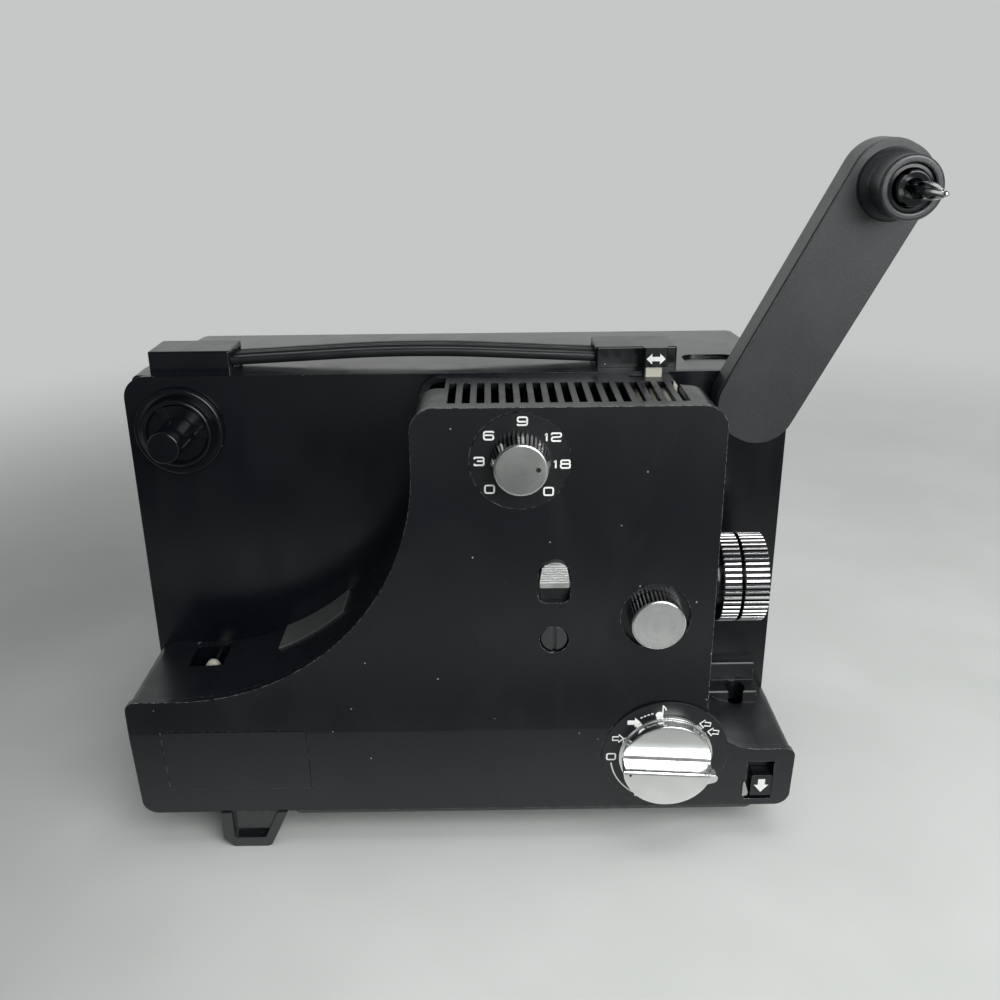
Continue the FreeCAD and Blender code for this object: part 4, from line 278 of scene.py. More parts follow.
# %% [markdown]
# Handling marks
#
# Fingers leave faint greasy patches, and a cloth wipes them into streaks. They
# hardly change the colour, but they change how sharp a reflection is. So this
# group gives one value for the roughness, from bent noise that is stretched
# upwards, the way a hand wipes.

# %% Group: handling marks
WIPED = (1.0, 1.0, 0.45)
handled_group, inlet, outlet = new_group(
    "Handling marks", [("Patch Size", "Float", 25.0)], [("Dullness", "Float")])
where = vector_calc(handled_group, "MULTIPLY", own_place(handled_group), WIPED)
patches = noise(handled_group, per_metre(handled_group, inlet["Patch Size"]), 5.0)
patches.inputs["Distortion"].default_value = 1.2
feed(handled_group, patches.inputs["Vector"], where)
feed(handled_group, outlet["Dullness"], stepped(handled_group, patches.outputs[0], *CLOUD_RANGE))
print("made", handled_group.name)

# %% [markdown]
# Turned rings
#
# A knob's face is cut on a lathe, so fine rings run round its centre and each one
# shines a little differently. The distance from the centre, taken across the
# knob's face, feeds a noise of one dimension. That gives rings of uneven depth
# and shade without a single one being drawn.

# %% Group: turned rings
turned_group, inlet, outlet = new_group(
    "Turned rings",
    [("Centre", "Vector", (0, 0, 0)), ("Across", "Vector", (1, 0, 1)), ("Ring Width", "Float", 0.15)],
    [("Height", "Float"), ("Shade", "Float")])
where = vector_calc(turned_group, "SUBTRACT", own_place(turned_group), inlet["Centre"])
radius = vector_calc(turned_group, "LENGTH", vector_calc(turned_group, "MULTIPLY", where, inlet["Across"]))
steps = calc(turned_group, "DIVIDE", calc(turned_group, "MULTIPLY", radius, 1000.0), inlet["Ring Width"])
rings = noise(turned_group, 1.0, 1.0, noise_dimensions="1D")
broad_rings = noise(turned_group, 0.12, 2.0, noise_dimensions="1D")
for texture in (rings, broad_rings):
    feed(turned_group, texture.inputs["W"], steps)
feed(turned_group, outlet["Height"], rings.outputs[0])
feed(turned_group, outlet["Shade"], stepped(turned_group, broad_rings.outputs[0], *CLOUD_RANGE))
print("made", turned_group.name)

# %% [markdown]
# One recipe for the projector's solid finishes
#
# Enamel, moulded plastic, rubber and metal differ in numbers more than in kind.
# Each has a colour that wanders between two close shades, a dullness that
# wanders with handling, a grain, soft edges, and perhaps dust. One function
# builds that tree, and each finish calls it with its own values. The shader
# itself stays in the material, where its plain numbers are easy to find. On
# coarse paint the tops of the grain get a lighter colour, a painted sparkle. A
# fluted knob gets painted shade in the valleys round its skirt, which are found
# from the angle round its centre. A chromed ring gets painted shade on all that
# lies nearer its axis than its groove's edge.

# %% The finish recipe
DUST_COLOUR = (0.22, 0.225, 0.22)
FLUTE_SHADE_COLOUR = (0.015, 0.015, 0.016)
GROOVE_SHADE_COLOUR = (0.012, 0.012, 0.013)
COAT_ROUGHNESS, RING_SHARE, RING_DARKER = 0.12, 0.35, 0.8
GRAIN_TOPS, VALLEY_EDGE, BEHIND_FACE = (0.5, 0.72), (-0.2, 0.3), 0.0006


def projector_finish(name, deep, pale, dullness, metal=0.0, grain=(0.4, 0.004), cloud=40.0, edge=0.25,
                     wear=None, dust=None, turned=None, coat=0.0, groove=None, shine=0.5, painted_sparkle=None,
                     flutes=0):
    """Colours are linear. Grain is its size and depth in millimetres, dullness a low and a high roughness."""
    material = bpy.data.materials.new(name)
    material.use_nodes = True
    tree = material.node_tree
    shader = tree.nodes["Principled BSDF"]
    shader.inputs["Metallic"].default_value = metal
    shader.inputs["Specular IOR Level"].default_value = shine
    shader.inputs["Coat Weight"].default_value = coat
    shader.inputs["Coat Roughness"].default_value = COAT_ROUGHNESS
    skin = use_group(tree, grain_group, Grain_Size=grain[0], Cloud_Size=cloud)
    hands = use_group(tree, handled_group)
    edges = use_group(tree, worn_group, Edge_Width=edge, Wear=wear[0] if wear else 0.0)
    colour = mixed_colour(tree, skin["Cloud"], deep, pale)
    height = skin["Height"]
    if turned:
        rings = use_group(tree, turned_group, Centre=turned)
        shade = calc(tree, "MULTIPLY", rings["Shade"], RING_SHARE)
        colour = mixed_colour(tree, shade, colour, tuple(channel * RING_DARKER for channel in deep))
        height = calc(tree, "ADD", calc(tree, "MULTIPLY", skin["Height"], 0.5), rings["Height"])
    # Painted sparkle: the tops of the grain get a lighter colour.
    if painted_sparkle:
        colour = mixed_colour(tree, stepped(tree, skin["Height"], *GRAIN_TOPS), colour, painted_sparkle)
    # Painted shade: the valleys between the flutes, on the skirt behind the face, get a dark colour.
    if flutes:
        place = add(tree, "SeparateXYZ")
        feed(tree, place.inputs[0], vector_calc(tree, "SUBTRACT", own_place(tree), turned))
        angle = calc(tree, "ARCTAN2", place.outputs["Z"], place.outputs["X"])
        valley_shade = stepped(tree, calc(tree, "COSINE", calc(tree, "MULTIPLY", angle, flutes)), *VALLEY_EDGE)
        side = calc(tree, "GREATER_THAN", place.outputs["Y"], BEHIND_FACE)
        colour = mixed_colour(tree, calc(tree, "MULTIPLY", valley_shade, side), colour, FLUTE_SHADE_COLOUR)
    # Painted shade: all of a ring that lies nearer its axis than the groove's edge gets a dark colour.
    if groove:
        centre, across, bottom, top = groove
        place = vector_calc(tree, "SUBTRACT", own_place(tree), centre)
        reach = vector_calc(tree, "LENGTH", vector_calc(tree, "MULTIPLY", place, across))
        raised = stepped(tree, reach, bottom / 1000, top / 1000)
        colour = mixed_colour(tree, raised, GROOVE_SHADE_COLOUR, colour)
    if wear:
        colour = mixed_colour(tree, edges["Mask"], colour, wear[1])
    if dust:
        specks = use_group(tree, dust_group, Spacing=dust[0], Speck_Size=dust[1], Share=dust[2])
        colour = mixed_colour(tree, specks["Mask"], colour, DUST_COLOUR)
    bump = add(tree, "Bump")
    bump.inputs["Distance"].default_value = grain[1] / 1000
    feed(tree, bump.inputs["Height"], height)
    feed(tree, bump.inputs["Normal"], edges["Normal"])
    feed(tree, shader.inputs["Base Color"], colour)
    feed(tree, shader.inputs["Roughness"], stepped(tree, hands["Dullness"], 0.0, 1.0, *dullness))
    feed(tree, shader.inputs["Normal"], bump.outputs[0])
    return material


print("recipe ready")

# %% [markdown]
# Enamel and mouldings
#
# The face is bent sheet with a dark semi-gloss enamel, dusty and chipped pale
# along its right edge. The chamber behind it and the deep plate wear the same
# colour, and the plate is the smoother of the two. The rear shell, the feet and
# the handle's caps are moulded. The shell's flat top is the smoothest, and it
# mirrors the room behind. The arm has a coarse paint that hides fingerprints
# and catches the lamp on its grain, and the tops of that grain are painted a
# lighter colour as a painted sparkle.

# %% Enamel and moulded finishes
cover_enamel = projector_finish(
    "cover_enamel", (0.0042, 0.0052, 0.0072), (0.0056, 0.007, 0.0092), (0.22, 0.29), grain=(0.35, 0.005),
    wear=(0.29, (0.28, 0.29, 0.29)), dust=(7.0, 0.42, 0.35), edge=0.35)
housing_enamel = projector_finish(
    "housing_enamel", (0.0042, 0.0052, 0.007), (0.0062, 0.0076, 0.0098), (0.24, 0.34), grain=(0.5, 0.007),
    wear=(0.14, (0.2, 0.21, 0.21)), dust=(8.0, 0.45, 0.3), edge=0.5)
plate_enamel = projector_finish(
    "plate_enamel", (0.0022, 0.0030, 0.0048), (0.0034, 0.0045, 0.0066), (0.18, 0.25), grain=(0.3, 0.004),
    wear=(0.10, (0.2, 0.21, 0.21)), dust=(8.0, 0.40, 0.3), edge=0.4)
shell_plastic = projector_finish(
    "shell_plastic", (0.005, 0.006, 0.0075), (0.0078, 0.009, 0.0105), (0.11, 0.22), grain=(0.55, 0.004),
    shine=0.85, wear=(0.10, (0.10, 0.11, 0.11)), dust=(9.0, 0.45, 0.25), edge=0.5)
cap_plastic = projector_finish(
    "cap_plastic", (0.003, 0.004, 0.0056), (0.005, 0.0062, 0.008), (0.18, 0.26), grain=(0.4, 0.006),
    wear=(0.16, (0.12, 0.125, 0.125)), dust=(6.0, 0.4, 0.25), edge=0.3)
# The arm's grain tops carry a painted sparkle, a lighter colour.
arm_paint = projector_finish(
    "arm_paint", (0.008, 0.010, 0.0125), (0.013, 0.0155, 0.0185), (0.34, 0.40), grain=(0.5, 0.035),
    shine=0.85, painted_sparkle=(0.028, 0.032, 0.037), wear=(0.14, (0.14, 0.145, 0.145)), dust=(10.0, 0.4, 0.2),
    edge=0.4, cloud=22.0)
print("made 6 dark finishes")

# %% [markdown]
# Satin dials, bright clip and plain steel
#
# The three knobs are turned aluminium with a satin skin: soft reflections, fine
# rings, and a rim that shines. Forty flutes run round the skirts of the two small
# ones, and their valleys are darkened as painted shade. The reel clip is polished
# spring steel, and the lens's rings are chromed, with painted shade in their
# groove. Inner shafts and plates are plain machined steel, and the motor's can is
# plated, so they are duller and show handling.

# %% Metal finishes
SATIN = ((0.78, 0.79, 0.785), (0.88, 0.885, 0.875))
SPEED_FACE = drawing_place(154.5, -10.2, 152.1)
FOCUS_FACE = drawing_place(205.8, -7.3, 89.4)
LENS_AXIS = drawing_place(0, 17.1, 97.85)
GROOVE_BOTTOM, GROOVE_TOP = 16.92, 17.20
speed_satin = projector_finish(
    "speed_satin", *SATIN, (0.20, 0.30), metal=1.0, grain=(0.25, 0.003), cloud=8.0, edge=0.25,
    turned=SPEED_FACE, flutes=40)
focus_satin = projector_finish(
    "focus_satin", *SATIN, (0.20, 0.30), metal=1.0, grain=(0.25, 0.003), cloud=8.0, edge=0.25,
    turned=FOCUS_FACE, flutes=40)
selector_satin = projector_finish(
    "selector_satin", (0.88, 0.89, 0.885), (0.95, 0.955, 0.945), (0.14, 0.20), metal=1.0, grain=(0.25, 0.002),
    cloud=9.0, edge=0.3)
guide_satin = projector_finish(
    "guide_satin", (0.36, 0.37, 0.37), (0.46, 0.47, 0.46), (0.30, 0.42), metal=0.9, grain=(0.3, 0.003))
lens_anodised = projector_finish(
    "lens_anodised", (0.008, 0.009, 0.011), (0.014, 0.015, 0.017), (0.16, 0.24),
    grain=(0.3, 0.002), edge=0.2, wear=(0.2, (0.45, 0.45, 0.44)), coat=0.6)
ring_chrome = projector_finish(
    "ring_chrome", (0.66, 0.67, 0.68), (0.78, 0.78, 0.78), (0.10, 0.18), metal=1.0, grain=(0.25, 0.001),
    edge=0.12, groove=(LENS_AXIS, (0, 1, 1), GROOVE_BOTTOM, GROOVE_TOP))
clip_steel = projector_finish(
    "clip_steel", (0.72, 0.72, 0.73), (0.82, 0.82, 0.82), (0.07, 0.16), metal=1.0, grain=(0.2, 0.001),
    edge=0.15)
machined_steel = projector_finish(
    "machined_steel", (0.42, 0.43, 0.44), (0.55, 0.56, 0.56), (0.28, 0.42), metal=1.0, grain=(0.2, 0.004))
adjuster_steel = projector_finish(
    "adjuster_steel", (0.10, 0.105, 0.11), (0.15, 0.155, 0.16), (0.3, 0.42), metal=1.0, grain=(0.2, 0.004),
    edge=0.2, wear=(0.3, (0.5, 0.5, 0.5)))
motor_plating = projector_finish(
    "motor_plating", (0.24, 0.25, 0.255), (0.33, 0.335, 0.34), (0.35, 0.5), metal=0.9, grain=(0.5, 0.006),
    wear=(0.15, (0.5, 0.5, 0.5)))
bush_brass = projector_finish(
    "bush_brass", (0.55, 0.38, 0.14), (0.66, 0.49, 0.22), (0.25, 0.4), metal=1.0, grain=(0.2, 0.003))
mirror_silver = projector_finish(
    "mirror_silver", (0.86, 0.87, 0.87), (0.9, 0.9, 0.9), (0.03, 0.08), metal=1.0, grain=(0.4, 0.0005))
print("made 12 metal finishes")

# %% [markdown]
# Plastics, rubber and glass
#
# The spindles are glossy black plastic, the hub's collar has a coarse skin like
# the arm, the printed dials are satin black, and the roller and the slider's
# stem are an old cream. The strap, the belts and the foot's pad are rubber.
# Glass keeps a plain transmission value on its shader, because a lens is clear
# all over, and only its coating and its dullness vary.

# %% Plastic, rubber and glass finishes
spindle_plastic = projector_finish(
    "spindle_plastic", (0.0024, 0.0032, 0.0046), (0.004, 0.005, 0.0064), (0.12, 0.20), grain=(0.3, 0.002),
    edge=0.25, wear=(0.1, (0.08, 0.08, 0.08)), dust=(5.0, 0.35, 0.2))
# The collar's grain tops carry the same painted sparkle as the arm.
collar_plastic = projector_finish(
    "collar_plastic", (0.007, 0.0085, 0.0105), (0.011, 0.0128, 0.015), (0.36, 0.44), grain=(0.5, 0.03),
    shine=0.9, edge=0.4, painted_sparkle=(0.045, 0.05, 0.056))
black_plastic = projector_finish(
    "black_plastic", (0.003, 0.004, 0.0054), (0.005, 0.006, 0.0076), (0.22, 0.32), grain=(0.4, 0.006),
    edge=0.25)
dial_black = projector_finish(
    "dial_black", (0.005, 0.006, 0.008), (0.007, 0.0085, 0.0105), (0.30, 0.38), grain=(0.3, 0.003),
    dust=(6.0, 0.3, 0.25), edge=0.2, wear=(0.12, (0.16, 0.16, 0.16)))
cream_plastic = projector_finish(
    "cream_plastic", (0.36, 0.36, 0.30), (0.46, 0.455, 0.385), (0.38, 0.5), grain=(0.4, 0.004), edge=0.3,
    wear=(0.16, (0.35, 0.33, 0.27)))
strap_rubber = projector_finish(
    "strap_rubber", (0.005, 0.006, 0.0072), (0.008, 0.0092, 0.0105), (0.34, 0.46), grain=(0.35, 0.006),
    cloud=18.0, dust=(7.0, 0.4, 0.3), edge=0.3)
belt_rubber = projector_finish(
    "belt_rubber", (0.012, 0.012, 0.012), (0.02, 0.02, 0.02), (0.5, 0.65), grain=(0.5, 0.01))
foot_rubber = projector_finish(
    "foot_rubber", (0.014, 0.014, 0.014), (0.022, 0.022, 0.022), (0.55, 0.7), grain=(0.6, 0.015), edge=0.5)
socket_ceramic = projector_finish(
    "socket_ceramic", (0.68, 0.66, 0.60), (0.80, 0.78, 0.73), (0.5, 0.65), grain=(0.5, 0.01), edge=0.5)
mark_white = projector_finish(
    "mark_white", (0.70, 0.71, 0.69), (0.80, 0.81, 0.79), (0.45, 0.6), grain=(0.3, 0.001), edge=0.02,
    cloud=5.0)
mark_black = projector_finish(
    "mark_black", (0.004, 0.004, 0.004), (0.007, 0.007, 0.007), (0.5, 0.6), grain=(0.3, 0.001), edge=0.02)


GLASS_IOR, COATING_BLEND, FINGER_PATCH, GLASS_DULLNESS = 1.5, 0.35, 12.0, (0.01, 0.06)


def clear_glass(name, tint, coating):
    """Glass with a faint coating colour at a slant and finger marks that dull it."""
    material = bpy.data.materials.new(name)
    material.use_nodes = True
    tree = material.node_tree
    shader = tree.nodes["Principled BSDF"]
    shader.inputs["Transmission Weight"].default_value = 1.0
    shader.inputs["IOR"].default_value = GLASS_IOR
    slant = add(tree, "LayerWeight")
    slant.inputs["Blend"].default_value = COATING_BLEND
    feed(tree, shader.inputs["Base Color"], mixed_colour(tree, slant.outputs["Facing"], tint, coating))
    hands = use_group(tree, handled_group, Patch_Size=FINGER_PATCH)
    feed(tree, shader.inputs["Roughness"], stepped(tree, hands["Dullness"], 0.0, 1.0, *GLASS_DULLNESS))
    return material


lens_coating = clear_glass("lens_coating", (0.80, 0.84, 0.92), (0.42, 0.38, 0.75))
lamp_glass = clear_glass("lamp_glass", (0.95, 0.94, 0.88), (0.85, 0.80, 0.62))
print("made 13 plastic, rubber and glass finishes")

# %% [markdown]
# The format switch
#
# Its thumb piece is bright ribbed metal with an arched outline, on a black slide.
# Both are one solid in the CAD, so one material holds both finishes and chooses
# by place: what stands further forward than the panel's back, above the
# window's lower line and inside the arch is bright, and the rest is black. The
# choice is a mask over the surface, made from the piece's own coordinates, so
# it moves with the switch.

# %% Format switch finish
THUMB_BACK = drawing_place(0, 2.4, 0).y
THUMB_MIDDLE, THUMB_LINE = drawing_place(167.2, 0, 0).x, drawing_place(0, 0, 102.6).z
ARCH_HALF, ARCH_TAPER = 0.0060, -0.17
RIBBED, SLIDE_BLACK = ((0.55, 0.56, 0.55), (0.68, 0.69, 0.68)), (0.01, 0.011, 0.012)
THUMB_METAL, THUMB_DULLNESS, THUMB_GRAIN_DEPTH = 0.9, (0.3, 0.42), 0.000003
switch_finish = bpy.data.materials.new("switch_finish")
switch_finish.use_nodes = True
tree = switch_finish.node_tree
shader = tree.nodes["Principled BSDF"]
place = add(tree, "SeparateXYZ")
feed(tree, place.inputs[0], own_place(tree))
front = calc(tree, "LESS_THAN", place.outputs["Y"], THUMB_BACK)
above_line = calc(tree, "GREATER_THAN", place.outputs["Z"], THUMB_LINE)
beside = calc(tree, "ABSOLUTE", calc(tree, "SUBTRACT", place.outputs["X"], THUMB_MIDDLE))
raised = calc(tree, "SUBTRACT", place.outputs["Z"], THUMB_LINE)
arch = calc(tree, "LESS_THAN", beside, calc(tree, "MULTIPLY_ADD", raised, ARCH_TAPER, ARCH_HALF))
bright = calc(tree, "MULTIPLY", calc(tree, "MULTIPLY", front, above_line), arch)
skin = use_group(tree, grain_group, Grain_Size=0.25, Cloud_Size=6.0)
edges = use_group(tree, worn_group, Edge_Width=0.2)
metal_colour = mixed_colour(tree, skin["Cloud"], *RIBBED)
feed(tree, shader.inputs["Base Color"], mixed_colour(tree, bright, SLIDE_BLACK, metal_colour))
feed(tree, shader.inputs["Metallic"], calc(tree, "MULTIPLY", bright, THUMB_METAL))
feed(tree, shader.inputs["Roughness"], stepped(tree, skin["Cloud"], 0.0, 1.0, *THUMB_DULLNESS))
bump = add(tree, "Bump")
bump.inputs["Distance"].default_value = THUMB_GRAIN_DEPTH
feed(tree, bump.inputs["Height"], skin["Height"])
feed(tree, bump.inputs["Normal"], edges["Normal"])
feed(tree, shader.inputs["Normal"], bump.outputs[0])
print("made", switch_finish.name)

# %% [markdown]
# Dressing the CAD pieces
#
# The CAD shapes stay as they are, and each gets its finish in its material slot.
# A table from finish to pieces is easier to check than sixty single lines, and
# the print tells if one was forgotten.

# %% Dress the CAD pieces
DRESSED = {
    cover_enamel: ["front_cover"],
    housing_enamel: ["film_side_housing"],
    plate_enamel: ["mechanism_plate"],
    shell_plastic: ["rear_housing", "base_tray", "moulded_feet"],
    cap_plastic: ["handle_caps"],
    arm_paint: ["arm_frame", "arm_cover"],
    collar_plastic: ["hub_collar"],
    spindle_plastic: ["supply_spindle", "takeup_spindle", "takeup_flange", "slider_cap"],
    black_plastic: ["speed_control", "selector_switch", "cooling_fan", "mains_inlet", "arrow_button",
                    "foot_wheel"],
    switch_finish: ["format_switch"],
    speed_satin: ["speed_knob"],
    focus_satin: ["focus_knob"],
    selector_satin: ["selector_knob"],
    guide_satin: ["film_guide_strip", "lens_holder", "gate_block"],
    dial_black: ["speed_scale", "selector_scale", "label_plate"],
    lens_anodised: ["lens_barrel"],
    ring_chrome: ["zoom_ring", "focus_ring"],
    lens_coating: ["lens_glass"],
    clip_steel: ["spindle_clip"],
    adjuster_steel: ["adjuster_screw"],
    machined_steel: ["arm_retainer", "arm_drive_shaft", "main_shaft", "motor_shaft", "pressure_plate", "claw",
                     "housing_screws", "shutter"],
    motor_plating: ["motor", "transformer"],
    cream_plastic: ["exit_roller", "slider_stem", "film_sprocket"],
    bush_brass: ["shaft_bushes"],
    belt_rubber: ["drive_belt", "takeup_belt", "rewind_belt", "arm_belt", "carry_strap"],
    foot_rubber: ["screw_foot"],
    lamp_glass: ["lamp"],
    socket_ceramic: ["lamp_socket"],
    mirror_silver: ["mirror"],
}
dressed = set()
for material, names in DRESSED.items():
    for name in names:
        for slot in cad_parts[name].material_slots:
            slot.material = material
        dressed.add(name)
print("dressed", len(dressed), "pieces, left bare:", sorted(set(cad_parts) - dressed))

# %% [markdown]
# Making a new piece
#
# A piece that CAD left plain is built here from points and faces. The helper
# makes the mesh, gives it its finish, and ties it to the body that it moves
# with. A second helper smooths what is round on a piece and keeps its true
# edges sharp.

# %% Piece helpers
def make_piece(name, points, faces, finish, body, smooth=False):
    mesh = bpy.data.meshes.new(name)
    mesh.from_pydata([tuple(point) for point in points], [], faces)
    mesh.materials.append(finish)
    for polygon in mesh.polygons:
        polygon.use_smooth = smooth
    piece = bpy.data.objects.new(name, mesh)
    bpy.context.scene.collection.objects.link(piece)
    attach(piece, body)
    return piece


def smooth_round_faces(piece, degrees):
    for polygon in piece.data.polygons:
        polygon.use_smooth = True
    piece.data.set_sharp_from_angle(angle=math.radians(degrees))


print("piece helpers ready")

# %% [markdown]
# The carrying strap
#
# The strap is one length of black rubber with grooves along it, held by the two
# caps and bowed upwards between them. Its section is drawn once, with round
# sides and four grooves, and carried along the bow. A sweep keeps each
# groove even from end to end, which sculpting would not.

# %% Strap
STRAP_LEFT, STRAP_RIGHT, STRAP_FRONT = 28.9, 198.2, 58.85
STRAP_WIDTH, STRAP_BOTTOM, STRAP_LIFT, BOW_RADIUS = 16.3, 173.3, 4.1, 600.0
STRAP_STEPS = 96


def strap_rise(x):
    """How far the strap's middle line is lifted: two straight runs joined by a wide arc."""
    half = (STRAP_RIGHT - STRAP_LEFT) / 2
    across = abs(x - (STRAP_LEFT + STRAP_RIGHT) / 2)
    slope = math.atan2(STRAP_LIFT, half)
    bend = BOW_RADIUS * math.sin(slope)
    if across > bend:
        return STRAP_LIFT * (1 - across / half)
    top = STRAP_LIFT * (1 - bend / half) + BOW_RADIUS * (1 - math.cos(slope))
    return top - BOW_RADIUS + math.sqrt(BOW_RADIUS ** 2 - across ** 2)


def strap_section():
    """Outline across the strap as pairs of width and height, anticlockwise."""
    top = [(0.0, 0.7), (0.0, 2.6), (0.25, 3.1), (0.8, 3.35), (2.6, 3.4), (3.3, 3.3), (3.5, 2.9), (5.1, 2.9),
           (5.3, 3.45), (5.9, 3.75), (6.6, 3.8), (6.9, 3.45), (7.2, 3.45), (7.5, 3.8)]
    mirrored = [(STRAP_WIDTH - width, height) for width, height in reversed(top)]
    bottom = [(STRAP_WIDTH - 0.7, 0.0), (0.7, 0.0)]
    return top + mirrored + bottom


section = strap_section()
points = []
for step in range(STRAP_STEPS + 1):
    x = STRAP_LEFT + (STRAP_RIGHT - STRAP_LEFT) * step / STRAP_STEPS
    for width, height in section:
        points.append(drawing_place(x, STRAP_FRONT + width, STRAP_BOTTOM + height + strap_rise(x)))
count = len(section)
faces = []
for step in range(STRAP_STEPS):
    for i in range(count):
        a, b = step * count + i, step * count + (i + 1) % count
        faces.append((a, b, b + count, a + count))
faces.append(tuple(range(count - 1, -1, -1)))
faces.append(tuple(range(STRAP_STEPS * count, (STRAP_STEPS + 1) * count)))
strap = make_piece("ribbed_strap", points, faces, strap_rubber, "chassis", smooth=True)
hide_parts("carry_strap")
print("strap rises", round(strap_rise((STRAP_LEFT + STRAP_RIGHT) / 2), 2), "mm")

# %% [markdown]
# Printed marks
#
# The scales carry numbers, arrows and a music note in white ink. Ink has a real
# thickness, about a twentieth of a millimetre, so each mark is a thin solid
# that stands on its dial. A stroke follows a line whose corners are rounded
# first, and ready shapes such as arrows are drawn as outlines.

# %% Mark helpers
INK = 0.05


def rounded_line(corners, radius, closed=False):
    """Replaces each corner of a line by a short arc."""
    count = len(corners)
    line = []
    for i, corner in enumerate(corners):
        if not closed and i in (0, count - 1):
            line.append(corner)
            continue
        before, after = Vector(corners[i - 1]), Vector(corners[(i + 1) % count])
        here = Vector(corner)
        back, ahead = before - here, after - here
        reach = min(radius, back.length * 0.45, ahead.length * 0.45)
        start, end = here + back.normalized() * reach, here + ahead.normalized() * reach
        for step in range(5):
            t = step / 4
            line.append(tuple(start * (1 - t) ** 2 + here * 2 * t * (1 - t) + end * t ** 2))
    return line


def stroke_solid(line, width, closed, to_place, lift=0.0):
    """A thin bar of ink along a line."""
    count = len(line)
    points, faces = [], []
    for i, spot in enumerate(line):
        before = Vector(line[i - 1] if closed or i else spot)
        after = Vector(line[(i + 1) % count] if closed or i < count - 1 else spot)
        along = (after - before).normalized()
        side = Vector((-along.y, along.x)) * width / 2
        for offset, height in ((side, lift), (-side, lift), (-side, lift + INK), (side, lift + INK)):
            points.append(to_place(spot[0] + offset.x, spot[1] + offset.y, height))
    for i in range(count if closed else count - 1):
        a, b = i * 4, ((i + 1) % count) * 4
        for k in range(4):
            n = (k + 1) % 4
            faces.append((a + k, b + k, b + n, a + n))
    if not closed:
        last = (count - 1) * 4
        faces += [(0, 1, 2, 3), (last + 3, last + 2, last + 1, last)]
    return points, faces


def shape_solid(outline, to_place, lift=0.0, thickness=INK):
    """A thin plate of ink inside an outline."""
    count = len(outline)
    points = [to_place(x, y, height) for height in (lift, lift + thickness) for x, y in outline]
    faces = [tuple(range(count - 1, -1, -1)), tuple(range(count, 2 * count))]
    faces += [(i, (i + 1) % count, (i + 1) % count + count, i + count) for i in range(count)]
    return points, faces


def ink_piece(name, solids, finish, body):
    points, faces = [], []
    for more_points, more_faces in solids:
        start = len(points)
        points += more_points
        faces += [tuple(i + start for i in face) for face in more_faces]
    return make_piece(name, points, faces, finish, body)


print("mark helpers ready")

# %% [markdown]
# Numbers
#
# The numbers are wide and square with round corners, as on many dials of that
# time. Each one is a few lines in a box of one by one, so the same drawing
# serves at any size. A typeface would be quicker, but none that comes with
# Blender has this shape. Where two lines of a number meet, the second lies a
# hundredth of a millimetre higher, so that they never flicker.

# %% Numbers
NUMBER_LINES = {
    "0": [([(0, 0), (1, 0), (1, 1), (0, 1)], True)],
    "1": [([(0.1, 0.74), (0.62, 1), (0.62, 0)], False)],
    "2": [([(0, 0.78), (0, 1), (1, 1), (1, 0.53), (0, 0.47), (0, 0), (1, 0)], False)],
    "3": [([(0, 0.8), (0, 1), (1, 1), (1, 0.53), (0.28, 0.53)], False),
          ([(0.9, 0.53), (1, 0.5), (1, 0), (0, 0), (0, 0.2)], False)],
    "6": [([(1, 0.84), (1, 1), (0, 1), (0, 0), (1, 0), (1, 0.57), (0.02, 0.57)], False)],
    "8": [([(0.03, 0.53), (0.97, 0.53), (0.97, 1), (0.03, 1)], True),
          ([(0, 0), (1, 0), (1, 0.53), (0, 0.53)], True)],
    "9": [([(0, 0.16), (0, 0), (1, 0), (1, 1), (0, 1), (0, 0.43), (0.98, 0.43)], False)],
}
STROKE, CORNER, LAYER = 0.62, 0.75, 0.01
NUMBER_WIDTH, NUMBER_GAP, ONE_WIDTH = 1.12, 0.22, 0.46


def number_solids(text, x, y, height, to_place):
    """The strokes of a number whose middle is at x, y on the dial."""
    gap = height * NUMBER_GAP
    widths = [height * (ONE_WIDTH if letter == "1" else NUMBER_WIDTH) for letter in text]
    left = x - (sum(widths) + gap * (len(text) - 1)) / 2
    solids = []
    for letter, width in zip(text, widths):
        for layer, (corners, closed) in enumerate(NUMBER_LINES[letter]):
            line = [(left + STROKE / 2 + across * (width - STROKE),
                     y - height / 2 + STROKE / 2 + up * (height - STROKE)) for across, up in corners]
            line = rounded_line(line, CORNER, closed)
            solids.append(stroke_solid(line, STROKE, closed, to_place, layer * LAYER))
        left += width + gap
    return solids


print("numbers drawn:", " ".join(NUMBER_LINES))

# %% [markdown]
# The speed dial
#
# Pictures per second stand round the speed knob: 0, 3, 6, 9, 12, 18 and 0 again.
# The disc stands 0.3 mm in front of the panel, so the ink starts there. A small
# dark dot in the knob's face is its pointer, and it turns with the knob.

# %% Speed dial marks
SCALE_FRONT, SPEED_KNOB_FRONT, NUMBER_HEIGHT, DOT_INK = 0.3, 10.2, 3.5, 0.02


def on_speed_dial(x, z, out):
    return drawing_place(x, -SCALE_FRONT - out, z)


SPEED_NUMBERS = [("9", 155.3, 167.1), ("6", 143.4, 161.9), ("12", 166.1, 161.1), ("3", 139.9, 152.4),
                 ("18", 169.4, 151.0), ("0", 143.5, 141.8), ("0", 164.7, 140.7)]
solids = []
for text, x, z in SPEED_NUMBERS:
    solids += number_solids(text, x, z, NUMBER_HEIGHT, on_speed_dial)
ink_piece("speed_numbers", solids, mark_white, "chassis")


def circle(x, y, radius, steps=24):
    return [(x + radius * math.cos(math.tau * i / steps), y + radius * math.sin(math.tau * i / steps))
            for i in range(steps)]


def on_speed_knob(x, z, out):
    return drawing_place(x, -SPEED_KNOB_FRONT - out, z)


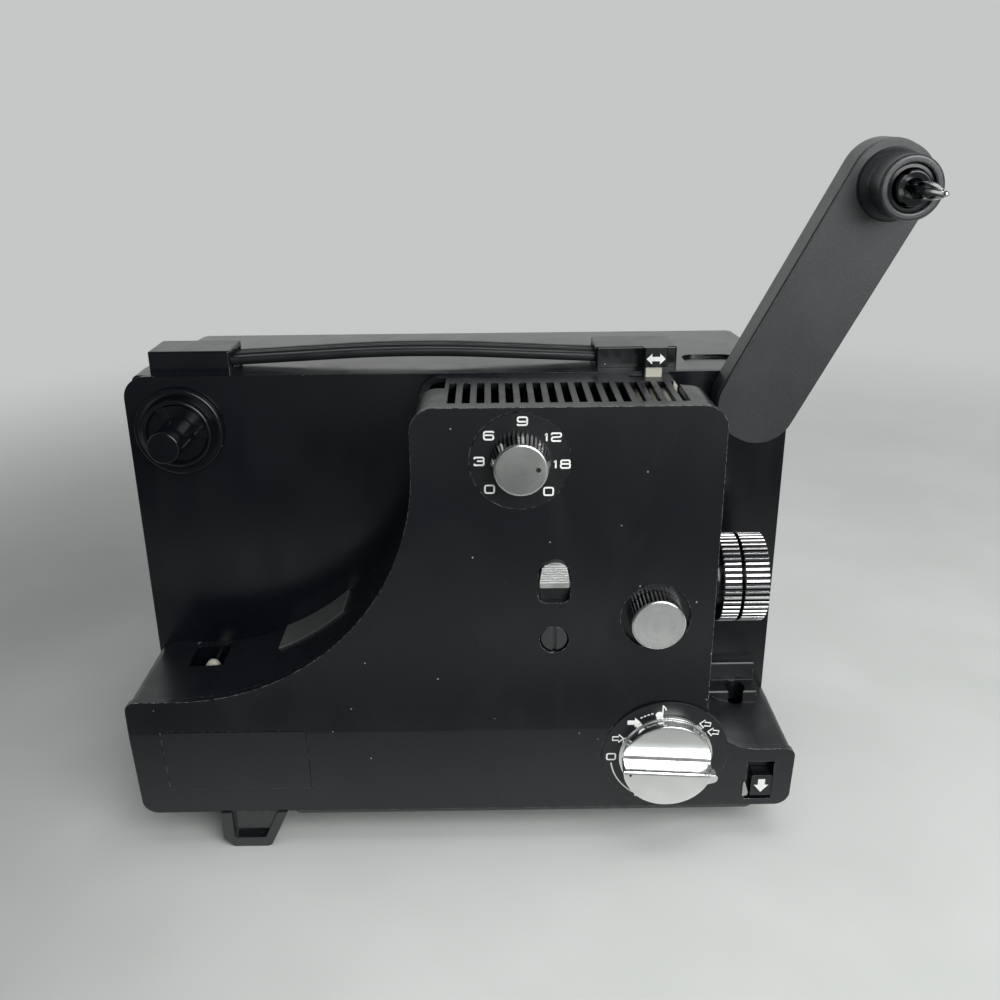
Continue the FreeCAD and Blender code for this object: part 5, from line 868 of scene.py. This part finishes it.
ink_piece("speed_pointer", [shape_solid(circle(160.6, 152.3, 0.9), on_speed_knob, thickness=DOT_INK)],
          mark_black, "speed_dial")
print("speed dial has", len(SPEED_NUMBERS), "numbers")

# %% [markdown]
# The selector's marks
#
# Round the main dial stand a zero, an arc, arrows for running forwards and
# backwards, and a note for sound speed. They lie on the leaning part of the
# face, so their helper uses that part's own directions, measured from the
# dial's centre.

# %% Selector marks
THIN, MEDIUM, BOLD = 0.45, 0.55, 0.6
ARROW_NECK, ARROW_SHAFT = 0.05, 0.22


def on_selector(across, up, out):
    return SELECTOR + (FACE_RIGHT * across + FACE_UP * up + FACE_OUT * (SCALE_FRONT + out)) / 1000


def arrow_outline(x, y, width, height, direction=1, turn=0.0):
    """A block arrow round its middle, pointing right or left."""
    half, neck, shaft = width / 2, ARROW_NECK * width, ARROW_SHAFT * height
    corners = [(-half, -shaft), (neck, -shaft), (neck, -height / 2), (half, 0), (neck, height / 2),
               (neck, shaft), (-half, shaft)]
    cosine, sine = math.cos(turn), math.sin(turn)
    return [(x + direction * (a * cosine) - b * sine, y + direction * (a * sine) + b * cosine)
            for a, b in corners]


def arc_line(radius, start, end, steps=24, growth=0.0):
    """An arc between two angles in degrees, whose radius may grow on the way."""
    line = []
    for i in range(steps + 1):
        angle, reach = math.radians(start + (end - start) * i / steps), radius + growth * i / steps
        line.append((reach * math.cos(angle), reach * math.sin(angle)))
    return line


arrow, bold_arrow, tilt = (4.3, 3.9), (5.2, 4.8), math.radians(-7)
small_box = rounded_line([(-11.1, -21.6), (-9.5, -21.6), (-9.5, -20.2), (-11.1, -20.2)], 0.3, True)
solids = number_solids("0", -21.6, -1.1, 3.6, on_selector)
solids.append(stroke_solid(arc_line(21.9, -169, -122, growth=1.1), MEDIUM, False, on_selector))
solids.append(stroke_solid(small_box, THIN, True, on_selector))
solids.append(stroke_solid(arrow_outline(-19.2, 8.0, *arrow), BOLD, True, on_selector))
solids.append(shape_solid(arrow_outline(-13.2, 15.8, *bold_arrow), on_selector))
for i in range(4):
    start = 121.0 - i * 4.1
    solids.append(stroke_solid(arc_line(20.9, start, start - 2.5, 4), MEDIUM, False, on_selector))
solids.append(shape_solid(circle(-3.4, 19.4, 1.5), on_selector))
solids.append(stroke_solid([(-2.15, 19.4), (-2.15, 24.0)], 0.5, False, on_selector))
solids.append(stroke_solid([(-2.3, 23.8), (-1.3, 22.8), (-0.8, 21.6)], MEDIUM, False, on_selector, LAYER))
for x, y in ((14.9, 14.6), (18.4, 10.6)):
    solids.append(stroke_solid(arrow_outline(x, y, *arrow, -1, tilt), BOLD, True, on_selector))
ink_piece("selector_marks", solids, mark_white, "chassis")
print("selector marks use", len(solids), "strokes")

# %% [markdown]
# The selector knob
#
# The main dial is one turned knob whose lower half stands up as a grip. Between
# the two halves runs a trough for the fingertips, and a small beak at the right
# points at the marks. A boolean cut could make the step, but it leaves long
# thin faces. Here the front is a grid of rows that follows the trough's
# section, and each row ends on the knob's rim, so the faces stay even. The
# section is turned by 4 degrees, as the grip is when the dial stands at rest.

# %% Selector knob
KNOB_RADIUS, KNOB_LOW, KNOB_HIGH, KNOB_EDGE = 17.8, 5.6, 9.7, 0.5
KNOB_TURN, RIM_ROWS, NEAREST_ROWS, COLUMNS = math.radians(4), 48, 0.02, 24
SKIRT = ((KNOB_RADIUS, 1.7), (KNOB_RADIUS + 0.8, 1.4), (KNOB_RADIUS + 1.0, 0.1))
TROUGH = rounded_line([(-KNOB_RADIUS, KNOB_HIGH), (-1.9, KNOB_HIGH), (-0.4, KNOB_LOW - 1.2),
                       (1.4, KNOB_LOW - 1.7), (9.0, KNOB_LOW), (KNOB_RADIUS, KNOB_LOW)], 1.2)


def trough_height(up):
    """How far the knob's front stands out at a distance above its middle."""
    for (start, low), (end, high) in zip(TROUGH, TROUGH[1:]):
        if up <= end:
            return low + (high - low) * (up - start) / (end - start)
    return KNOB_LOW


def rim_drop(across, up):
    """How much the rounded rim takes off the front's height."""
    inset = KNOB_EDGE - (KNOB_RADIUS - math.hypot(across, up))
    return KNOB_EDGE - math.sqrt(max(KNOB_EDGE ** 2 - inset ** 2, 0.0)) if inset > 0 else 0.0


def on_turned_knob(across, up, out):
    cosine, sine = math.cos(KNOB_TURN), math.sin(KNOB_TURN)
    return on_selector(across * cosine + up * sine, up * cosine - across * sine, out)


def knob_rows():
    """Heights of the grid's rows: close together at the rim, and one at each point of the trough."""
    around = [-KNOB_RADIUS * math.cos(math.pi * (i + 0.2) / RIM_ROWS) for i in range(RIM_ROWS)]
    rows = sorted(around + [up for up, height in TROUGH[1:-1]])
    return [up for i, up in enumerate(rows) if i == 0 or up - rows[i - 1] > NEAREST_ROWS]


def knob_solid():
    """The grid of the front, closed by a skirt that runs round the rim down to the dial."""
    columns = [0.0, 0.012, 0.03] + [i / COLUMNS for i in range(1, COLUMNS)] + [0.97, 0.988, 1.0]
    rows, wide = knob_rows(), len(columns)
    flat = []
    for up in rows:
        half = math.sqrt(KNOB_RADIUS ** 2 - up ** 2)
        flat += [(half * (2 * share - 1), up, trough_height(up) - rim_drop(half * (2 * share - 1), up))
                 for share in columns]
    faces = [(r * wide + c, r * wide + c + 1, (r + 1) * wide + c + 1, (r + 1) * wide + c)
             for r in range(len(rows) - 1) for c in range(wide - 1)]
    last = (len(rows) - 1) * wide
    rim = list(range(wide)) + [r * wide + wide - 1 for r in range(1, len(rows) - 1)]
    rim += list(range(last + wide - 1, last - 1, -1)) + [r * wide for r in range(len(rows) - 2, 0, -1)]
    upper = rim
    for radius, height in SKIRT:
        start, scale = len(flat), radius / KNOB_RADIUS
        flat += [(flat[i][0] * scale, flat[i][1] * scale, height) for i in rim]
        lower = list(range(start, start + len(rim)))
        for i in range(len(rim)):
            n = (i + 1) % len(rim)
            faces.append((lower[i], lower[n], upper[n], upper[i]))
        upper = lower
    faces.append(tuple(reversed(upper)))
    return [on_turned_knob(*place) for place in flat], faces


BEAK = rounded_line([(13.0, -8.4), (19.4, -6.6), (19.8, -3.4), (13.0, -3.0)], 1.4, True)
SPINDLE_RADIUS, SPINDLE_LENGTH = 2.9, 22.1
solids = [knob_solid(), shape_solid(BEAK, on_selector, KNOB_LOW, KNOB_HIGH - KNOB_LOW - 0.1),
          shape_solid(circle(0, 0, SPINDLE_RADIUS, 32), on_selector, 0.1 - SPINDLE_LENGTH, SPINDLE_LENGTH)]
knob = ink_piece("stepped_selector_knob", solids, selector_satin, "selector_dial")
smooth_round_faces(knob, 28)
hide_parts("selector_knob")


def on_grip(across, up, out):
    return on_turned_knob(across, up, KNOB_HIGH + out)


ink_piece("selector_dot", [shape_solid(circle(-14.7, -3.6, 0.55), on_grip, thickness=DOT_INK)],
          mark_black, "selector_dial")
print("knob has", len(knob.data.polygons), "faces")

# %% [markdown]
# The hub on the arm
#
# A reel slides over the bright clip in the middle of the hub. The clip is two
# bowed leaves of spring steel round a thin core with a ball on its end, and a
# black washer closes the collar's bore behind it. The core and the washer are
# turned from a profile, and each leaf is a strip carried along its bow, which
# narrows towards the ball.

# %% Hub
PIVOT_X, PIVOT_Z, ARM_LENGTH, ARM_ANGLE = 247.2, 162.1, 90.6, math.radians(62.9)
HUB_X = PIVOT_X + ARM_LENGTH * math.cos(ARM_ANGLE)
HUB_Z = PIVOT_Z + ARM_LENGTH * math.sin(ARM_ANGLE)
COLLAR_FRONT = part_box("hub_collar")[0][1] * 1000 + 64


def on_hub(across, up, out):
    return drawing_place(HUB_X + across, COLLAR_FRONT - out, HUB_Z + up)


def turned_solid(profile, to_place, steps=48, closed=False):
    """Turns pairs of radius and height round the middle. A closed profile makes a ring."""
    points = [to_place(x, y, out) for radius, out in profile for x, y in circle(0, 0, radius, steps)]
    faces = []
    for r in range(len(profile) if closed else len(profile) - 1):
        start, end = r * steps, ((r + 1) % len(profile)) * steps
        faces += [(start + i, start + (i + 1) % steps, end + (i + 1) % steps, end + i) for i in range(steps)]
    if not closed:
        last = (len(profile) - 1) * steps
        faces += [tuple(range(steps - 1, -1, -1)), tuple(range(last, last + steps))]
    return points, faces


washer = turned_solid([(6.5, -2.6), (8.1, -2.6), (8.1, -1.5), (7.9, -1.3), (6.8, -1.2), (6.5, -1.4)], on_hub,
                      closed=True)
ink_piece("hub_washer", [washer], spindle_plastic, "arm")

LEAF_WIDTH, LEAF_THICK, LEAF_STEPS, LEAF_START, LEAF_LENGTH = 3.2, 0.35, 20, 1.0, 22.5
LEAF_GAP, LEAF_BOW, LEAF_TAPER = 1.15, 1.75, 0.72
BALL_RADIUS, BALL_PLACE = 1.25, 26.3


def leaf_solid(side):
    """One bowed leaf of the clip, above or below its core."""
    points, faces = [], []
    for step in range(LEAF_STEPS + 1):
        share = step / LEAF_STEPS
        out = LEAF_START + LEAF_LENGTH * share
        bow = LEAF_GAP + LEAF_BOW * math.sin(math.pi * min(share * 1.05, 1.0)) ** 0.8 * (1 - 0.35 * share)
        half = LEAF_WIDTH / 2 * (1 - LEAF_TAPER * share ** 2.2)
        for across, rise in ((-half, 0.0), (half, 0.0), (half, LEAF_THICK), (-half, LEAF_THICK)):
            points.append(on_hub(across, side * (bow + rise), out))
    for step in range(LEAF_STEPS):
        a, b = step * 4, step * 4 + 4
        faces += [(a + k, a + (k + 1) % 4, b + (k + 1) % 4, b + k) for k in range(4)]
    end = LEAF_STEPS * 4
    return points, faces + [(3, 2, 1, 0), (end, end + 1, end + 2, end + 3)]


ball = [(BALL_RADIUS * math.sin(math.pi * i / 12), BALL_PLACE - BALL_RADIUS * math.cos(math.pi * i / 12))
        for i in range(2, 12)]
core = turned_solid([(1.5, -6.0), (1.5, 6.0), (1.1, 20.0), (0.8, 24.6)] + ball, on_hub, 24)
clip = ink_piece("leaf_clip", [core, leaf_solid(1), leaf_solid(-1)], clip_steel, "supply")
smooth_round_faces(clip, 35)
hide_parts("spindle_clip")
print("clip stands", BALL_PLACE + BALL_RADIUS, "mm before the collar")

# %% [markdown]
# Arrows on the moving keys
#
# The start key has a white arrow that points down, the way it is pushed, and the
# slider on top has one with two heads. Each arrow rides on its key. A small pale
# latch leaf stands beside the start key and goes down with it.

# %% Key arrows
BUTTON, BUTTON_FRONT = leaning_place(252.6, 10.6), 0.6
SLIDER_X, SLIDER_Z, SLIDER_FRONT = 208.3, 178.4, 43.0


def on_button(across, up, out):
    return BUTTON + (FACE_RIGHT * across + FACE_UP * up + FACE_OUT * (BUTTON_FRONT + out)) / 1000


down_arrow = [(-1.35, 3.2), (-1.35, 0.3), (-2.9, 0.3), (0.05, -3.4), (3.0, 0.3), (1.45, 0.3), (1.45, 3.2)]
ink_piece("start_arrow", [shape_solid(down_arrow, on_button)], mark_white, "button")
leaf = [(-7.4, 1.6), (-6.7, 2.0), (-5.0, -3.6), (-5.2, -5.0), (-7.3, -5.6)]
leaf_plate = shape_solid(rounded_line(leaf, 0.4, True), on_button, -0.45, 0.5)
ink_piece("latch_leaf", [leaf_plate], guide_satin, "button")


def on_slider(x, z, out):
    return drawing_place(SLIDER_X + x, SLIDER_FRONT - out, SLIDER_Z + z)


double_arrow = [(-3.7, 0), (-1.5, 2.1), (-1.5, 0.85), (1.5, 0.85), (1.5, 2.1), (3.7, 0), (1.5, -2.1),
                (1.5, -0.85), (-1.5, -0.85), (-1.5, -2.1)]
ink_piece("slider_arrow", [shape_solid(double_arrow, on_slider)], mark_white, "top_slider")
print("arrows on two keys")

# %% [markdown]
# The table
#
# The projector stands on a plain pale table. A dark glossy face is really a
# mirror: seen from above it shows the table in front of it, and its lower part
# looks lighter. A picture of the table could be painted on the face, but it would
# stay there in every other view. So the table itself carries a painted reflection:
# for glossy rays alone its colour is paler and shaded in soft bands by the
# distance in front of the face, brightest at its foot and mostly darker further
# off. For the camera it stays pale, its colour is darkened a little to the left
# as painted shade, where less light falls, and far off it turns into the
# backdrop's even grey.

# %% Table
BACKDROP, BLACK = (0.56, 0.575, 0.565), (0, 0, 0)
TABLE_HALF, FACE_LINE, BAND_LENGTH = 9, -0.064, 1.6
TABLE_PALE = ((0.57, 0.588, 0.572), (0.61, 0.625, 0.61))
MIRRORED_PALE = ((0.80, 0.82, 0.80), (0.84, 0.86, 0.84))
PAINTED_REFLECTION_BANDS = ((0.0, 1.0), (0.07, 0.035), (0.11, 0.66), (0.165, 0.16), (0.25, 0.06), (1.0, 1.0))
DIM_FROM, DIM_TO, DIMMEST = -0.42, -0.08, 0.5
BACKDROP_FROM, BACKDROP_TO = 0.34, 1.0
floor_mesh = bpy.data.meshes.new("table")
corners = [(x * TABLE_HALF, y * TABLE_HALF, 0) for x, y in ((-1, -1), (1, -1), (1, 1), (-1, 1))]
floor_mesh.from_pydata(corners, [], [(0, 1, 2, 3)])
floor = bpy.data.objects.new("table", floor_mesh)
bpy.context.scene.collection.objects.link(floor)
table_top = bpy.data.materials.new("table_top")
table_top.use_nodes = True
floor_mesh.materials.append(table_top)
tree = table_top.node_tree
shader = tree.nodes["Principled BSDF"]
shader.inputs["Roughness"].default_value = 0.6
shader.inputs["Specular IOR Level"].default_value = 0.0
skin = use_group(tree, grain_group, Grain_Size=1.5, Cloud_Size=90.0)
pale = mixed_colour(tree, skin["Cloud"], *TABLE_PALE)
where = own_place(tree)
place = add(tree, "SeparateXYZ")
feed(tree, place.inputs[0], where)
in_front = calc(tree, "SUBTRACT", FACE_LINE, place.outputs["Y"])
# Painted reflection and painted shade: for glossy rays the table is paler and darkened in bands by the
# distance in front of the face.
ramp = add(tree, "ValToRGB")
feed(tree, ramp.inputs[0], calc(tree, "DIVIDE", in_front, BAND_LENGTH, limit=True))
stops = ramp.color_ramp.elements
for position, share in PAINTED_REFLECTION_BANDS:
    stop = stops.new(position) if 0 < position < 1 else stops[-int(position)]
    stop.color = (share, share, share, 1)
tint = add(tree, "Mix", data_type="RGBA", blend_type="MULTIPLY")
tint.inputs[0].default_value = 1.0
feed(tree, tint.inputs[6], mixed_colour(tree, skin["Cloud"], *MIRRORED_PALE))
feed(tree, tint.inputs[7], ramp.outputs[0])
path = add(tree, "LightPath")
near = mixed_colour(tree, path.outputs["Is Glossy Ray"], pale, tint.outputs[2])
far = stepped(tree, vector_calc(tree, "LENGTH", where), BACKDROP_FROM, BACKDROP_TO)
looked_at = calc(tree, "MAXIMUM", path.outputs["Is Camera Ray"], path.outputs["Is Transmission Ray"])
seen = calc(tree, "MULTIPLY", far, looked_at)
# Painted shade: the table's colour is darkened towards the left.
shaded = add(tree, "VectorMath", operation="SCALE")
feed(tree, shaded.inputs[0], mixed_colour(tree, seen, near, BLACK))
feed(tree, shaded.inputs["Scale"], stepped(tree, place.outputs["X"], DIM_FROM, DIM_TO, DIMMEST, 1.0))
feed(tree, shader.inputs["Base Color"], shaded.outputs[0])
feed(tree, shader.inputs["Emission Color"], mixed_colour(tree, seen, BLACK, BACKDROP))
shader.inputs["Emission Strength"].default_value = 1.0
print("made", floor.name)

# %% [markdown]
# Lamps and surroundings
#
# The light is plain and soft. One large panel stands in front, to the right and
# above, and gives the knobs their bright side. A weaker one hangs overhead and
# lifts the shadows. It is hidden from glossy rays, because a real room would
# not show such a bright square in the black top. The world lights everything a
# little, shows the backdrop to the camera, and shows metal and glass a dark
# room in front and a paler one behind. An HDR picture of a studio could do all
# this, but a file of one's own lamps is easier to adjust.

# %% Lamps and surroundings
AIM = Vector((-0.08, 0, 0.08))
DARK_ROOM, PALE_ROOM, AMBIENT = (0.04, 0.043, 0.047), (0.62, 0.635, 0.625), (0.26, 0.27, 0.27)


def soft_panel(name, where, size, power):
    lamp = bpy.data.lights.new(name, "AREA")
    lamp.size, lamp.energy = size, power
    panel = bpy.data.objects.new(name, lamp)
    panel.location = where
    panel.rotation_euler = (AIM - Vector(where)).to_track_quat("-Z", "Y").to_euler()
    bpy.context.scene.collection.objects.link(panel)
    return panel


soft_panel("front_panel", (0.42, -0.94, 0.73), 0.95, 17.0)
top_panel = soft_panel("top_panel", (0.05, -0.10, 1.35), 0.7, 5.5)
top_panel.visible_glossy = False

world = bpy.data.worlds.new("studio")
bpy.context.scene.world = world
world.use_nodes = True
tree = world.node_tree
path = add(tree, "LightPath")
mirrored = calc(tree, "MAXIMUM", path.outputs["Is Glossy Ray"], path.outputs["Is Transmission Ray"])
seen = calc(tree, "MAXIMUM", path.outputs["Is Camera Ray"], mirrored)
direction = add(tree, "SeparateXYZ")
feed(tree, direction.inputs[0], add(tree, "TexCoord").outputs["Generated"])
behind = calc(tree, "MULTIPLY", stepped(tree, direction.outputs["Y"], -0.3, 0.8),
              stepped(tree, direction.outputs["Z"], 0.5, 0.9, 1.0, 0.3))
room = mixed_colour(tree, behind, DARK_ROOM, PALE_ROOM)
backdrop = mixed_colour(tree, path.outputs["Is Camera Ray"], room, BACKDROP)
feed(tree, tree.nodes["Background"].inputs["Color"], mixed_colour(tree, seen, AMBIENT, backdrop))
bpy.context.scene.view_settings.view_transform = "Standard"
print("lamps:", [lamp.name for lamp in bpy.data.lights])
